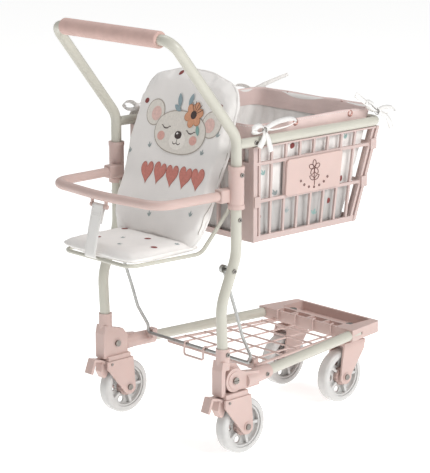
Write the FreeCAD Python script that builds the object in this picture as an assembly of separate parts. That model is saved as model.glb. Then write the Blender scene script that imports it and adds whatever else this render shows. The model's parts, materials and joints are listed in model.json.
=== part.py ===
"""Child's toy shopping trolley: tubular frame, doll seat, lined crate basket and folding platform.

Millimetres. X runs forward from the handle to the front tray, Y to the left, Z up.
"_r" pieces are on the right (-Y) side, "_l" pieces on the left (+Y) side.
Each piece is written as one STEP file.
"""

import FreeCAD
import Part
import math
import os

from FreeCAD import Vector

# ---------------------------------------------------------------- driving dimensions
X_ORIGIN = 107.95         # forward offset of the origin from the rear fold hinge

TUBE_R = 8.0              # frame tube radius
FIT = 0.15                # radial gap of a tube in its socket

HALF_TRACK = 134.0        # half the distance between the uprights
UPRIGHT_X = 11.5
HANDLE_X = -109.0
HANDLE_Z = 628.0
HANDLE_HALF = 130.0
HANDLE_BEND_Z = 479.0
GRIP_R = 12.5
GRIP_HALF = 106.5

SLEEVE_TOP = 437.0
SLEEVE_BOTTOM = 374.0
SLEEVE_R = 11.5

HINGE_Z = 118.0           # fold hinge of the platform
KNUCKLE_R = 18.0
HINGE_PIN_R = 3.0
RUN_FIT = 0.05            # running clearance on radius

WHEEL_R = 43.0
WHEEL_W = 20.0
REAR_AXLE_X = 20.4
AXLE_R = 3.0
FORK_GAP = 25.0
CHEEK_T = 3.5
BRAKE_X = -16.0
BRAKE_Z = 87.0

CASTOR_X = 331.0          # swivel axis of the front castors
CASTOR_Y = 64.0
CASTOR_TRAIL = 22.0
CASTOR_PIN_R = 4.0

TRAY_REAR = 294.0
TRAY_FRONT = 371.0
TRAY_HALF_REAR = 106.0
TRAY_HALF_FRONT = 93.0
TRAY_TOP = 128.0
TRAY_BOTTOM = 110.0

SIDE_TUBE_REAR = (40.0, 136.5, 112.5)
SIDE_TUBE_FRONT = (318.0, 94.0, 118.6)

BAIL_R = 2.5
BAIL_PIVOT = (0.0, 119.0, 283.0)
BAIL_BAR = (58.0, 116.0, 126.0)

CRATE_REAR = 43.0
CRATE_FRONT_TOP = 313.0
CRATE_FRONT_BOTTOM = 262.0
CRATE_BOTTOM = 318.0
CRATE_TOP = 460.0
CRATE_HALF = 134.0
WALL_T = 5.0
RIM_Z = 468.0
RIM_R = 7.4
BAR_UPPER_Z = 434.0
BAR_LOWER_Z = 378.0
BAR_H = 4.6
RIB_W = 3.8
RIB_COUNT = 7
SILL_H = 8.5              # bottom rail of the crate walls
TOP_RAIL = 2.6

COLLAR_TOP = 492.0
LINER_REAR = 50.5
LINER_T = 2.0

SEAT_LEAN = 0.36          # forward lean of the seat back, x per z
SEAT_ZERO_Z = 389.0
SEAT_BACK_T = 10.0
PAN_TOP = 319.0
PAN_T = 10.0
PAN_REAR = -152.0
PAN_HALF = 87.0

BUMPER_Z = 394.0
BUMPER_R = 7.0
LOOP_X = -135.4           # strap loop under the middle of the bumper bar
LOOP_Z = 379.0

SIDES = (("_r", -1.0), ("_l", 1.0))


# ---------------------------------------------------------------- helpers
def V(x, y, z):
    return Vector(float(x), float(y), float(z))


def box(x0, x1, y0, y1, z0, z1):
    return Part.makeBox(x1 - x0, y1 - y0, z1 - z0, V(x0, y0, z0))


def rod(start, end, radius):
    a = V(*start)
    d = V(*end) - a
    return Part.makeCylinder(radius, d.Length, a, d)


def pipe(start, end, outer, inner):
    a = V(*start)
    d = V(*end) - a
    hole = Part.makeCylinder(inner, d.Length + 2.0, a - d * (1.0 / d.Length), d)
    return Part.makeCylinder(outer, d.Length, a, d).cut(hole)


def prism(points, axis, low, high):
    """Extrude a closed polygon. axis 'y' takes (x, z) points, 'z' takes (x, y), 'x' takes (y, z)."""
    if axis == "y":
        ring = [V(p[0], low, p[1]) for p in points]
        push = V(0, high - low, 0)
    elif axis == "z":
        ring = [V(p[0], p[1], low) for p in points]
        push = V(0, 0, high - low)
    else:
        ring = [V(low, p[0], p[1]) for p in points]
        push = V(high - low, 0, 0)
    ring.append(ring[0])
    return Part.Face(Part.makePolygon(ring)).extrude(push)


def path_wire(points, radii):
    """Straight runs joined by tangent arcs: one radius for each inner point."""
    pts = [V(*p) for p in points]
    edges = []
    here = pts[0]
    for i in range(1, len(pts) - 1):
        back = (pts[i - 1] - pts[i]).normalize()
        ahead = (pts[i + 1] - pts[i]).normalize()
        turn = math.pi - back.getAngle(ahead)
        reach = radii[i - 1] * math.tan(turn / 2.0)
        a = pts[i] + back * reach
        b = pts[i] + ahead * reach
        middle = (back + ahead).normalize()
        centre = pts[i] + middle * (radii[i - 1] / math.cos(turn / 2.0))
        top = centre - middle * radii[i - 1]
        edges.append(Part.LineSegment(here, a).toShape())
        edges.append(Part.Arc(a, top, b).toShape())
        here = b
    edges.append(Part.LineSegment(here, pts[-1]).toShape())
    return Part.Wire(edges)


def bent_tube(points, radii, radius):
    wire = path_wire(points, radii)
    start = V(*points[0])
    along = V(*points[1]) - start
    ring = Part.Wire([Part.Circle(start, along, radius).toShape()])
    swept = wire.makePipeShell([ring], True, False)
    if swept.Volume < 0:
        swept.reverse()
    return swept


def hull_plate(blocks, axis_low, axis_high):
    """Plate in the XZ plane: a fuse of polygons and discs given as ('p', points) or ('c', x, z, r)."""
    shape = None
    for item in blocks:
        if item[0] == "p":
            piece = prism(item[1], "y", axis_low, axis_high)
        else:
            piece = rod((item[1], axis_low, item[2]), (item[1], axis_high, item[2]), item[3])
        shape = piece if shape is None else shape.fuse(piece)
    return shape.removeSplitter()


def soft(shape, radius):
    """Round every edge when the kernel can do it."""
    try:
        rounded = shape.makeFillet(radius, shape.Edges)
        if rounded.isValid() and rounded.Volume > 0:
            return rounded
    except Exception:
        pass
    return shape


def round_edges(shape, radius):
    """The closed circular edges of one radius."""
    found = []
    for e in shape.Edges:
        if isinstance(e.Curve, Part.Circle) and abs(e.Curve.Radius - radius) < 0.01:
            found.append(e)
    return found


def standing_edges(shape):
    """The straight edges that run along Z."""
    return [e for e in shape.Edges if len(e.Vertexes) == 2 and abs(e.Vertexes[0].Z - e.Vertexes[1].Z) > 5]


def mirrored(shape):
    return shape.mirror(V(0, 0, 0), V(0, 1, 0))


def sided(shape, side):
    """Shapes are drawn on the right (-Y) side; the left one is the mirror image."""
    return shape if side < 0 else mirrored(shape)


def screw(x, y, z, direction, head_r=3.4, head_h=1.6, shank_r=1.6, shank=5.0):
    """Pan-head screw with a slot. The head stands out along direction from (x, y, z)."""
    d = V(*direction)
    d.normalize()
    base = V(x, y, z)
    head = Part.makeCylinder(head_r, head_h, base, d)
    stem = Part.makeCylinder(shank_r, shank, base - d * shank, d)
    return head.fuse(stem).removeSplitter()


def seated(fastener, host):
    """A fastener's head, trimmed to the surface that it sits on."""
    return max(fastener.cut(host).Solids, key=lambda s: s.Volume)


def save(name, shapes):
    if not isinstance(shapes, (list, tuple)):
        shapes = [shapes]
    solids = []
    for s in shapes:
        solids.extend(s.Solids)
    moved = [s.translated(V(-X_ORIGIN, 0, 0)) for s in solids]
    shape = moved[0] if len(moved) == 1 else Part.makeCompound(moved)
    shape.exportStep("parts/" + name + ".step")
    print(name, len(solids), round(sum(s.Volume for s in solids)), shape.isValid())


os.makedirs("parts", exist_ok=True)

T = HALF_TRACK
U = UPRIGHT_X

# ---------------------------------------------------------------- handle and grip
handle = bent_tube(
    [
        (U, -T, 388),
        (U, -T, HANDLE_BEND_Z),
        (HANDLE_X, -HANDLE_HALF, HANDLE_Z),
        (HANDLE_X, HANDLE_HALF, HANDLE_Z),
        (U, T, HANDLE_BEND_Z),
        (U, T, 388),
    ],
    [38, 20, 20, 38],
    TUBE_R,
)
for _, side in SIDES:
    hole = rod((U, side * T - 12, 425), (U, side * T + 12, 425), 1.7)
    handle = handle.cut(hole)
save("handle_tube", handle)

grip = pipe((HANDLE_X, -GRIP_HALF, HANDLE_Z), (HANDLE_X, GRIP_HALF, HANDLE_Z), GRIP_R, TUBE_R + 0.1)
grip = grip.makeFillet(3.0, round_edges(grip, GRIP_R))
save("handle_grip", grip)

# ---------------------------------------------------------------- legs and sleeves
frame_screws = []
for tag, side in SIDES:
    sleeve = rod((U, -T, SLEEVE_BOTTOM), (U, -T, SLEEVE_TOP), SLEEVE_R)
    lug = box(-16, U, -T + 1, -116.5, BUMPER_Z - 10, BUMPER_Z + 10)
    lug = soft(lug, 2.5)
    sleeve = sleeve.fuse(lug)
    collar_top = rod((U, -T, SLEEVE_TOP - 6), (U, -T, SLEEVE_TOP), SLEEVE_R + 0.8)
    collar_low = rod((U, -T, SLEEVE_BOTTOM), (U, -T, SLEEVE_BOTTOM + 6), SLEEVE_R + 0.8)
    sleeve = sleeve.fuse(collar_top).fuse(collar_low)
    sleeve = sleeve.cut(rod((U, -T, SLEEVE_BOTTOM - 1), (U, -T, SLEEVE_TOP + 1), TUBE_R + FIT))
    sleeve = sleeve.cut(rod((U, -T - 20, 425), (U, -T - 4, 425), 1.7))
    sleeve = sleeve.cut(rod((-17, -124, BUMPER_Z), (-6, -124, BUMPER_Z), 4.0))
    save("upper_sleeve" + tag, sided(sleeve.removeSplitter(), side))

    leg = bent_tube(
        [(U, -T, 386), (U, -T, 303), (-19, -T, 232), (-15, -T, 152)],
        [70, 75],
        TUBE_R,
    )
    leg = leg.cut(rod((BAIL_PIVOT[0], -T, BAIL_PIVOT[2]), (BAIL_PIVOT[0], -T + 12, BAIL_PIVOT[2]), 2.1))
    save("leg_tube" + tag, sided(leg, side))

    frame_screws.append(sided(screw(U, -T - SLEEVE_R, 425, (0, -1, 0), shank=8.0), side))

# ---------------------------------------------------------------- rear housings, forks and brakes
hinge_bolts = []
rear_axles = []
brake_pins = []
for tag, side in SIDES:
    outer = -T - 10.4
    inner = -T + 10.4
    tower = rod((-15, -T, 136), (-15, -T, 168), 10.4)
    rear_block = prism([(-27, 97), (-19.5, 97), (-19.5, 134), (-10, 146), (-24, 150), (-27, 136)], "y", outer, inner)
    inner_plate = prism([(-20, 97), (21, 97), (21, 128), (12, 140), (-20, 148)], "y", -T + 0.2, inner)
    foot = box(-21, 24, -T - 14, -T + 14, 92, 99.5)
    housing = tower.fuse(rear_block).fuse(inner_plate).fuse(foot)
    housing = housing.cut(rod((0, outer - 2, HINGE_Z), (0, -T, HINGE_Z), KNUCKLE_R + 0.5))
    housing = housing.cut(rod((-15, -T, 151.5), (-16.2, -T, 175.5), TUBE_R + FIT + 0.1))
    housing = housing.cut(rod((0, -T - 1, HINGE_Z), (0, inner + 2, HINGE_Z), HINGE_PIN_R))
    save("leg_housing" + tag, sided(housing.removeSplitter(), side))

    pin = rod((0, -T - 12.6, HINGE_Z), (0, -T + 13.5, HINGE_Z), HINGE_PIN_R)
    head = rod((0, -T - 14.4, HINGE_Z), (0, -T - 11.9, HINGE_Z), 5.2)
    nut = rod((0, inner + 0.2, HINGE_Z), (0, inner + 3.4, HINGE_Z), 5.0)
    bolt = pin.fuse(head).fuse(nut)
    bolt = bolt.cut(box(-5, 5, -T - 15, -T - 13.4, HINGE_Z - 0.6, HINGE_Z + 0.6))
    hinge_bolts.append(sided(bolt.removeSplitter(), side))

    y_out0 = -T - FORK_GAP / 2.0 - CHEEK_T
    y_out1 = -T - FORK_GAP / 2.0
    y_in0 = -T + FORK_GAP / 2.0
    y_in1 = y_in0 + CHEEK_T
    ax = REAR_AXLE_X
    cheek_shape = [
        ("p", [(-24, 91.8), (28, 91.8), (ax + 11.8, WHEEL_R + 2), (ax - 11, WHEEL_R - 5), (-24, 80)]),
        ("c", ax, WHEEL_R, 12.0),
    ]
    fork = hull_plate(cheek_shape, y_out0, y_out1)
    fork = fork.fuse(hull_plate(cheek_shape, y_in0, y_in1))
    fork = fork.fuse(box(-6, 28, y_out0, y_in1, 88, 91.8))
    boss = rod((ax, y_out0 - 1.2, WHEEL_R), (ax, y_out0 + 1, WHEEL_R), 7.0)
    fork = fork.fuse(boss)
    fork = fork.cut(rod((ax, y_out0 - 5, WHEEL_R), (ax, y_in1 + 5, WHEEL_R), AXLE_R))
    fork = fork.cut(rod((BRAKE_X, y_out0 - 5, BRAKE_Z), (BRAKE_X, y_in1 + 5, BRAKE_Z), 2.0))
    save("rear_fork" + tag, sided(fork.removeSplitter(), side))

    axle = rod((ax, y_out0 - 2.2, WHEEL_R), (ax, y_in1 + 2.0, WHEEL_R), AXLE_R)
    axle = axle.fuse(rod((ax, y_out0 - 3.4, WHEEL_R), (ax, y_out0 - 1.2, WHEEL_R), 4.6))
    axle = axle.fuse(rod((ax, y_in1, WHEEL_R), (ax, y_in1 + 2.6, WHEEL_R), 4.8))
    rear_axles.append(sided(axle.removeSplitter(), side))

    lever = rod((BRAKE_X, -T - 9, BRAKE_Z), (BRAKE_X, -T + 9, BRAKE_Z), 4.2)
    arm = prism(
        [(-17, 90), (-20, 83), (-29, 91), (-41, 94.2), (-48, 75), (-52, 76.5), (-44, 98.4), (-28, 94.6)],
        "y", -T - 8, -T + 8,
    )
    shoe = prism([(-12, 84), (-18, 90), (-29, 90), (-31, 76), (-25, 64.5), (-20.5, 66)], "y", -T - 7, -T + 7)
    lever = lever.fuse(arm).fuse(shoe)
    lever = lever.cut(rod((BRAKE_X, -T - 20, BRAKE_Z), (BRAKE_X, -T + 20, BRAKE_Z), 2.0 + RUN_FIT))
    save("brake_lever" + tag, sided(lever.removeSplitter(), side))

    brake_pin = rod((BRAKE_X, y_out0 - 1.4, BRAKE_Z), (BRAKE_X, y_in1 + 1.4, BRAKE_Z), 2.0)
    brake_pins.append(sided(brake_pin, side))

    frame_screws.append(sided(seated(screw(-15, -T - 10.3, 160, (0, -1, 0), shank=1.6), housing), side))
save("hinge_bolts", hinge_bolts)
save("rear_axles", rear_axles)
save("brake_pins", brake_pins)


# ---------------------------------------------------------------- wheels
def wheel_parts(x, y):
    """Tyre, spoked rim and ridged hub about the axle at (x, y, WHEEL_R)."""
    half = WHEEL_W / 2.0
    z = WHEEL_R
    tyre = pipe((x, y - half, z), (x, y + half, z), WHEEL_R, 33.6)
    tyre = tyre.makeFillet(5.0, round_edges(tyre, WHEEL_R))
    rim = pipe((x, y - 8, z), (x, y + 8, z), 33.4, 30.2)
    web = pipe((x, y - 1.5, z), (x, y + 1.5, z), 31.0, 14.0)
    for i in range(5):
        a = math.radians(72 * i + 36)
        cx = x + 23.5 * math.cos(a)
        cz = z + 23.5 * math.sin(a)
        web = web.cut(rod((cx, y - 5, cz), (cx, y + 5, cz), 5.4))
    rim = rim.fuse(web)
    for i in range(5):
        a = math.degrees(math.radians(72 * i))
        spoke = box(x + 16.2, x + 31.0, y - 7, y + 7, z - 2.2, z + 2.2)
        spoke.rotate(V(x, y, z), V(0, 1, 0), -a)
        rim = rim.fuse(spoke)
    rim = rim.cut(rod((x, y - 12, z), (x, y + 12, z), 15.6))
    hub = rod((x, y - 10.5, z), (x, y + 10.5, z), 8.0)
    hub = hub.fuse(rod((x, y - 8, z), (x, y + 8, z), 14.2))
    for i in range(16):
        a = math.radians(22.5 * i)
        cx = x + 14.2 * math.cos(a)
        cz = z + 14.2 * math.sin(a)
        hub = hub.fuse(rod((cx, y - 8, cz), (cx, y + 8, cz), 1.3))
    hub = hub.cut(rod((x, y - 12, z), (x, y + 12, z), AXLE_R + RUN_FIT))
    return tyre, rim.removeSplitter(), hub.removeSplitter()


for tag, side in SIDES:
    tyre, rim, hub = wheel_parts(REAR_AXLE_X, side * T)
    save("rear_tyre" + tag, tyre)
    save("rear_rim" + tag, rim)
    save("rear_hub" + tag, hub)
    tyre, rim, hub = wheel_parts(CASTOR_X - CASTOR_TRAIL, side * CASTOR_Y)
    save("front_tyre" + tag, tyre)
    save("front_rim" + tag, rim)
    save("front_hub" + tag, hub)

# ---------------------------------------------------------------- front castors
castor_pins = []
for tag, side in SIDES:
    cy = -CASTOR_Y
    ax = CASTOR_X - CASTOR_TRAIL
    y_a = cy - FORK_GAP / 2.0 - CHEEK_T
    y_b = cy + FORK_GAP / 2.0 + CHEEK_T
    cheek_shape = [
        ("p", [(305, 99), (352, 99), (350, 84), (ax + 12, WHEEL_R + 2), (ax - 11.8, WHEEL_R - 2), (300, 70)]),
        ("c", ax, WHEEL_R, 12.0),
    ]
    fork = hull_plate(cheek_shape, y_a, y_a + CHEEK_T)
    fork = fork.fuse(hull_plate(cheek_shape, y_b - CHEEK_T, y_b))
    fork = fork.fuse(box(305, 352, y_a, y_b, 93, 99))
    ring = rod((CASTOR_X, cy, 99), (CASTOR_X, cy, 105.5), 17.0)
    for i in range(24):
        a = math.radians(15 * i)
        px = CASTOR_X + 17.0 * math.cos(a)
        py = cy + 17.0 * math.sin(a)
        ring = ring.cut(rod((px, py, 101), (px, py, 107), 1.1))
    fork = fork.fuse(ring)
    fork = fork.fuse(rod((ax, y_a - 1.2, WHEEL_R), (ax, y_a + 1, WHEEL_R), 7.0))
    fork = fork.cut(rod((ax, y_a - 5, WHEEL_R), (ax, y_b + 5, WHEEL_R), AXLE_R))
    fork = fork.cut(rod((CASTOR_X, cy, 90), (CASTOR_X, cy, 110), CASTOR_PIN_R + RUN_FIT))
    save("castor_fork" + tag, sided(fork.removeSplitter(), side))

    pin = rod((CASTOR_X, cy, 91.0), (CASTOR_X, cy, 124.0), CASTOR_PIN_R)
    pin = pin.fuse(rod((CASTOR_X, cy, 90.0), (CASTOR_X, cy, 92.6), 6.5))
    pin = pin.fuse(rod((CASTOR_X, cy, 121.3), (CASTOR_X, cy, 124.5), 6.5))
    castor_pins.append(sided(pin.removeSplitter(), side))

    axle = rod((ax, y_a - 2.2, WHEEL_R), (ax, y_b + 2.0, WHEEL_R), AXLE_R)
    axle = axle.fuse(rod((ax, y_a - 3.4, WHEEL_R), (ax, y_a - 1.2, WHEEL_R), 4.6))
    axle = axle.fuse(rod((ax, y_b, WHEEL_R), (ax, y_b + 2.6, WHEEL_R), 4.8))
    save("front_axle" + tag, sided(axle.removeSplitter(), side))
save("castor_pins", castor_pins)

# ---------------------------------------------------------------- folding platform
ra = SIDE_TUBE_REAR
rb = SIDE_TUBE_FRONT
run = [rb[i] - ra[i] for i in range(3)]


def along_tube(t, side=-1.0):
    return (ra[0] + run[0] * t, side * (ra[1] + run[1] * t), ra[2] + run[2] * t)


side_tube = rod(along_tube(0.0), along_tube(1.0), TUBE_R)
tube_bore = rod(along_tube(-0.01), along_tube(1.01), TUBE_R + FIT)

tray_outline = [
    (TRAY_REAR, -TRAY_HALF_REAR),
    (TRAY_FRONT, -TRAY_HALF_FRONT),
    (TRAY_FRONT, TRAY_HALF_FRONT),
    (TRAY_REAR, TRAY_HALF_REAR),
]
tray = prism(tray_outline, "z", TRAY_BOTTOM, TRAY_TOP)
tray = tray.makeFillet(6.0, [e for e in standing_edges(tray) if e.CenterOfMass.x > TRAY_FRONT - 1])
recess = prism([(319, -77), (TRAY_FRONT - 4.5, -77), (TRAY_FRONT - 4.5, 77), (319, 77)], "z", TRAY_BOTTOM + 3.5, TRAY_TOP + 1)
recess = recess.makeFillet(4.0, standing_edges(recess))
tray = tray.cut(recess)
for y in (-52, -18, 18, 52):
    pocket = box(299, 314, y - 15, y + 15, TRAY_TOP - 8, TRAY_TOP + 1)
    tray = tray.cut(pocket)
for side in (-1.0, 1.0):
    cy = side * CASTOR_Y
    tray = tray.fuse(rod((CASTOR_X, cy, TRAY_BOTTOM - 3.5), (CASTOR_X, cy, 121), 14.0))
    tray = tray.cut(rod((CASTOR_X, cy, 100), (CASTOR_X, cy, 130), CASTOR_PIN_R + RUN_FIT))
    tray = tray.cut(rod((CASTOR_X, cy, 121.0), (CASTOR_X, cy, 130), 7.5))
tray = tray.fuse(box(346, 349, -76.8, 76.8, TRAY_BOTTOM + 3, TRAY_BOTTOM + 6.5))
tray = tray.cut(tube_bore).cut(mirrored(tube_bore))
save("front_tray", tray.removeSplitter())

platform_screws = []
for tag, side in SIDES:
    save("platform_tube" + tag, sided(side_tube, side))

    knuckle = rod((0, -T - 10.4, HINGE_Z), (0, -T - 0.2, HINGE_Z), KNUCKLE_R)
    knuckle = knuckle.fuse(rod((0, -T - 11.4, HINGE_Z), (0, -T - 10, HINGE_Z), 13.0))
    neck = prism([(4, 102), (22, 100.6), (50, 101.5), (50, 123), (22, 127), (4, 134)], "y", -T - 10.4, -T - 0.2)
    socket = rod(along_tube(-0.06), along_tube(0.145), 11.0)
    knuckle = knuckle.fuse(neck).fuse(socket)
    knuckle = knuckle.cut(rod(along_tube(0.0), along_tube(0.2), TUBE_R + FIT))
    knuckle = knuckle.cut(rod((0, -T - 20, HINGE_Z), (0, -T + 5, HINGE_Z), HINGE_PIN_R + RUN_FIT))
    knuckle = knuckle.cut(box(-20, 25, -T - 0.2, -T + 16, 90, 150))
    save("platform_socket" + tag, sided(knuckle.removeSplitter(), side))

    saddle = box(60.8, 70, -121.5, -108, 117, 132)
    saddle = saddle.fuse(box(62, 72, -128, -118, 114, 126))
    saddle = saddle.cut(rod((BAIL_BAR[0], -135, BAIL_BAR[2]), (BAIL_BAR[0], -100, BAIL_BAR[2]), BAIL_R + 0.4))
    saddle = saddle.cut(rod(along_tube(-0.06), along_tube(0.3), 11.2))
    save("bail_saddle" + tag, sided(max(saddle.Solids, key=lambda s: s.Volume), side))

    px, py, pz = along_tube(0.1)
    platform_screws.append(sided(seated(screw(px, py - 11.0, pz, (0, -1, 0), shank=2.4), knuckle), side))
save("platform_screws", platform_screws)

# lattice shelf of welded wire between the side tubes
shelf_z = 112.0
WIRE = 1.5
rack = bent_tube(
    [(302, -70, shelf_z), (80, -98, shelf_z), (80, 98, shelf_z), (302, 70, shelf_z)],
    [8, 8],
    2.3,
)
for y in (-60, -20, 20, 60):
    slant = 1.22
    rack = rack.fuse(rod((79.5, y * slant, shelf_z + 0.4), (291, y, shelf_z + 0.4), WIRE))
for i in range(5):
    x = 116 + i * 38
    half = 98 - (x - 80) * 28.0 / 222.0 - 0.6
    rack = rack.fuse(rod((x, -half, shelf_z + 2.4), (x, half, shelf_z + 2.4), WIRE))
rack = rack.common(box(60, TRAY_REAR - 0.3, -130, 130, 90, 140))
for y in (-60, -20, 20, 60):
    hook = bent_tube(
        [(285, y, shelf_z + 0.4), (TRAY_REAR - 3.2, y, shelf_z + 0.4), (TRAY_REAR - 3.2, y, TRAY_TOP + 2.2),
         (TRAY_REAR + 3.4, y, TRAY_TOP + 2.2)],
        [3.0, 3.0],
        WIRE,
    )
    rack = rack.fuse(hook)
save("wire_shelf", rack.removeSplitter())

# locking bail: one bent wire from leg to leg with a foot loop in its cross bar
bx, by, bz = BAIL_BAR
pvx, pvy, pvz = BAIL_PIVOT
bail_path = [
    (pvx, -pvy, pvz),
    (28, -pvy, 206),
    (39, -pvy, 172),
    (bx, -by - 0.5, 139),
    (bx, -by, bz),
    (bx, by, bz),
    (bx, by + 0.5, 139),
    (39, pvy, 172),
    (28, pvy, 206),
    (pvx, pvy, pvz),
]
bail = bent_tube(bail_path, [25, 25, 8, 5, 5, 8, 25, 25], BAIL_R)
for side in (-1.0, 1.0):
    eye = rod((pvx, side * (pvy - 3), pvz), (pvx, side * (pvy + 3), pvz), 6.2)
    bail = bail.fuse(eye)
for side in (-1.0, 1.0):
    bail = bail.cut(rod((pvx, side * (pvy - 8), pvz), (pvx, side * (pvy + 8), pvz), 2.0 + RUN_FIT))
save("lock_bail", bail.removeSplitter())

# foot loop: a coated wire that hooks over the bail's cross bar
LOOP_WIRE = 1.6
over = BAIL_R + LOOP_WIRE + 0.1
loop_path = []
for y in (-17, 26):
    ends = [
        (bx + over, y, bz - 2.5),
        (bx + over, y, bz + over),
        (bx - over, y, bz + over),
        (bx - over - 0.5, y, bz - 16),
    ]
    loop_path += ends if y < 0 else list(reversed(ends))
save("foot_loop", bent_tube(loop_path, [over - 0.2, over - 0.2, 4, 4, over - 0.2, over - 0.2], LOOP_WIRE))

bail_rivets = []
for tag, side in SIDES:
    rivet = rod((pvx, -T + 2, pvz), (pvx, -pvy + 4.2, pvz), 2.0)
    rivet = rivet.fuse(rod((pvx, -pvy + 3.0, pvz), (pvx, -pvy + 4.8, pvz), 4.6))
    bail_rivets.append(sided(rivet.removeSplitter(), side))
save("bail_rivets", bail_rivets)

# ---------------------------------------------------------------- crate basket
slope = (CRATE_FRONT_TOP - CRATE_FRONT_BOTTOM) / (CRATE_TOP - CRATE_BOTTOM)


RAILS = (
    (CRATE_BOTTOM, SILL_H), (BAR_LOWER_Z - BAR_H / 2, BAR_H),
    (BAR_UPPER_Z - BAR_H / 2, BAR_H), (CRATE_TOP - TOP_RAIL, TOP_RAIL),
)


def front_x(z):
    return CRATE_FRONT_BOTTOM + slope * (z - CRATE_BOTTOM)


def side_strip(x_low, x_high, width):
    z0 = CRATE_BOTTOM
    z1 = CRATE_TOP
    pts = [(x_low - width / 2, z0), (x_low + width / 2, z0), (x_high + width / 2, z1), (x_high - width / 2, z1)]
    return prism(pts, "y", -CRATE_HALF - WALL_T / 2 + 0.6, -CRATE_HALF + WALL_T / 2 - 0.6)


for tag, side in SIDES:
    y0 = -CRATE_HALF - WALL_T / 2
    y1 = -CRATE_HALF + WALL_T / 2
    panel = box(CRATE_REAR, CRATE_REAR + 8, y0 - 1, y1, CRATE_BOTTOM, CRATE_TOP)
    panel = panel.fuse(box(CRATE_REAR + 7, CRATE_REAR + 13, y1 - 2.2, y1, CRATE_BOTTOM, CRATE_TOP))
    panel = panel.fuse(box(CRATE_REAR + 11.5, CRATE_REAR + 15.5, y0, y1, CRATE_BOTTOM, CRATE_TOP))
    for near, far, y_out, y_in in ((5.5, 0.0, y0 - 1, y1), (9.5, 4.5, y1 - 2.2, y1), (13.5, 9.0, y0, y1)):
        stile = prism(
            [(front_x(CRATE_BOTTOM) - near, CRATE_BOTTOM), (front_x(CRATE_BOTTOM) - far, CRATE_BOTTOM),
             (front_x(CRATE_TOP) - far, CRATE_TOP), (front_x(CRATE_TOP) - near, CRATE_TOP)],
            "y", y_out, y_in,
        )
        panel = panel.fuse(stile)
    for i in range(RIB_COUNT):
        t = i / (RIB_COUNT - 1.0)
        panel = panel.fuse(side_strip(78.5 + 162.5 * t, 83.2 + 178.7 * t, RIB_W))
    for z, h in RAILS:
        panel = panel.fuse(prism([(CRATE_REAR + 2, z), (front_x(z) - 2, z), (front_x(z + h) - 2, z + h), (CRATE_REAR + 2, z + h)], "y", y0, y1))
    for x, z in ((CRATE_REAR + 7, 378), (front_x(434) - 5, 434), (front_x(378) - 5, 378)):
        clip = box(x - 6, x + 6, y0 - 3, y0 + 1, z - 8, z + 8)
        panel = panel.fuse(clip)
    save("basket_side" + tag, sided(panel.removeSplitter(), side))

front_half = CRATE_HALF - WALL_T / 2 - 0.3
panel = None
for i in range(9):
    y = -front_half + 6 + (2 * front_half - 12) * i / 8.0
    w = 12.0 if i in (0, 8) else RIB_W
    strip = prism(
        [(front_x(CRATE_BOTTOM) - WALL_T, CRATE_BOTTOM), (front_x(CRATE_BOTTOM), CRATE_BOTTOM), (front_x(CRATE_TOP), CRATE_TOP), (front_x(CRATE_TOP) - WALL_T, CRATE_TOP)],
        "y", y - w / 2, y + w / 2,
    )
    panel = strip if panel is None else panel.fuse(strip)
for z, h in RAILS:
    bar = prism(
        [(front_x(z) - WALL_T, z), (front_x(z), z), (front_x(z + h), z + h), (front_x(z + h) - WALL_T, z + h)],
        "y", -front_half, front_half,
    )
    panel = panel.fuse(bar)
save("basket_front", panel.removeSplitter())

panel = None
REAR_POST = 21.0
for i in range(9):
    y = -front_half + REAR_POST / 2 + (2 * front_half - REAR_POST) * i / 8.0
    w = REAR_POST if i in (0, 8) else RIB_W
    strip = box(CRATE_REAR, CRATE_REAR + WALL_T, y - w / 2, y + w / 2, CRATE_BOTTOM, CRATE_TOP)
    panel = strip if panel is None else panel.fuse(strip)
for z, h in RAILS:
    panel = panel.fuse(box(CRATE_REAR, CRATE_REAR + WALL_T, -front_half, front_half, z, z + h))
for side in (-1.0, 1.0):
    window = sorted((side * (front_half - 4.5), side * (front_half - REAR_POST + 3)))
    panel = panel.cut(box(CRATE_REAR - 1, CRATE_REAR + WALL_T + 1, window[0], window[1], BAR_UPPER_Z + BAR_H / 2, CRATE_TOP - TOP_RAIL))
save("basket_rear", panel.removeSplitter())

floor_x0 = CRATE_REAR + WALL_T + 0.3
floor_x1 = CRATE_FRONT_BOTTOM - WALL_T - 0.3
floor = box(floor_x0, floor_x1, -front_half, front_half, CRATE_BOTTOM, CRATE_BOTTOM + 3.2)
for i in range(8):
    y = -front_half + 16 + i * (2 * front_half - 32) / 7.0
    for j in range(3):
        x0 = floor_x0 + 12 + j * 66
        floor = floor.cut(box(x0, x0 + 54, y - 10, y + 10, CRATE_BOTTOM - 1, CRATE_BOTTOM + 5))
save("basket_floor", floor)

plate = prism(
    [(108, BAR_LOWER_Z + 3), (111, BAR_LOWER_Z + 1), (219, BAR_LOWER_Z + 1), (223, BAR_LOWER_Z + 3),
     (229, BAR_UPPER_Z - 4), (227, BAR_UPPER_Z - 1), (114, BAR_UPPER_Z - 1), (111, BAR_UPPER_Z - 4)],
    "y", -CRATE_HALF - WALL_T / 2 - 3.0, -CRATE_HALF - WALL_T / 2 - 0.1,
)
save("name_plate", plate)

rim = bent_tube(
    [(51, -CRATE_HALF, RIM_Z), (314, -CRATE_HALF, RIM_Z), (314, CRATE_HALF, RIM_Z), (51, CRATE_HALF, RIM_Z)],
    [15, 15],
    RIM_R,
)
save("basket_rim", rim)

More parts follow.
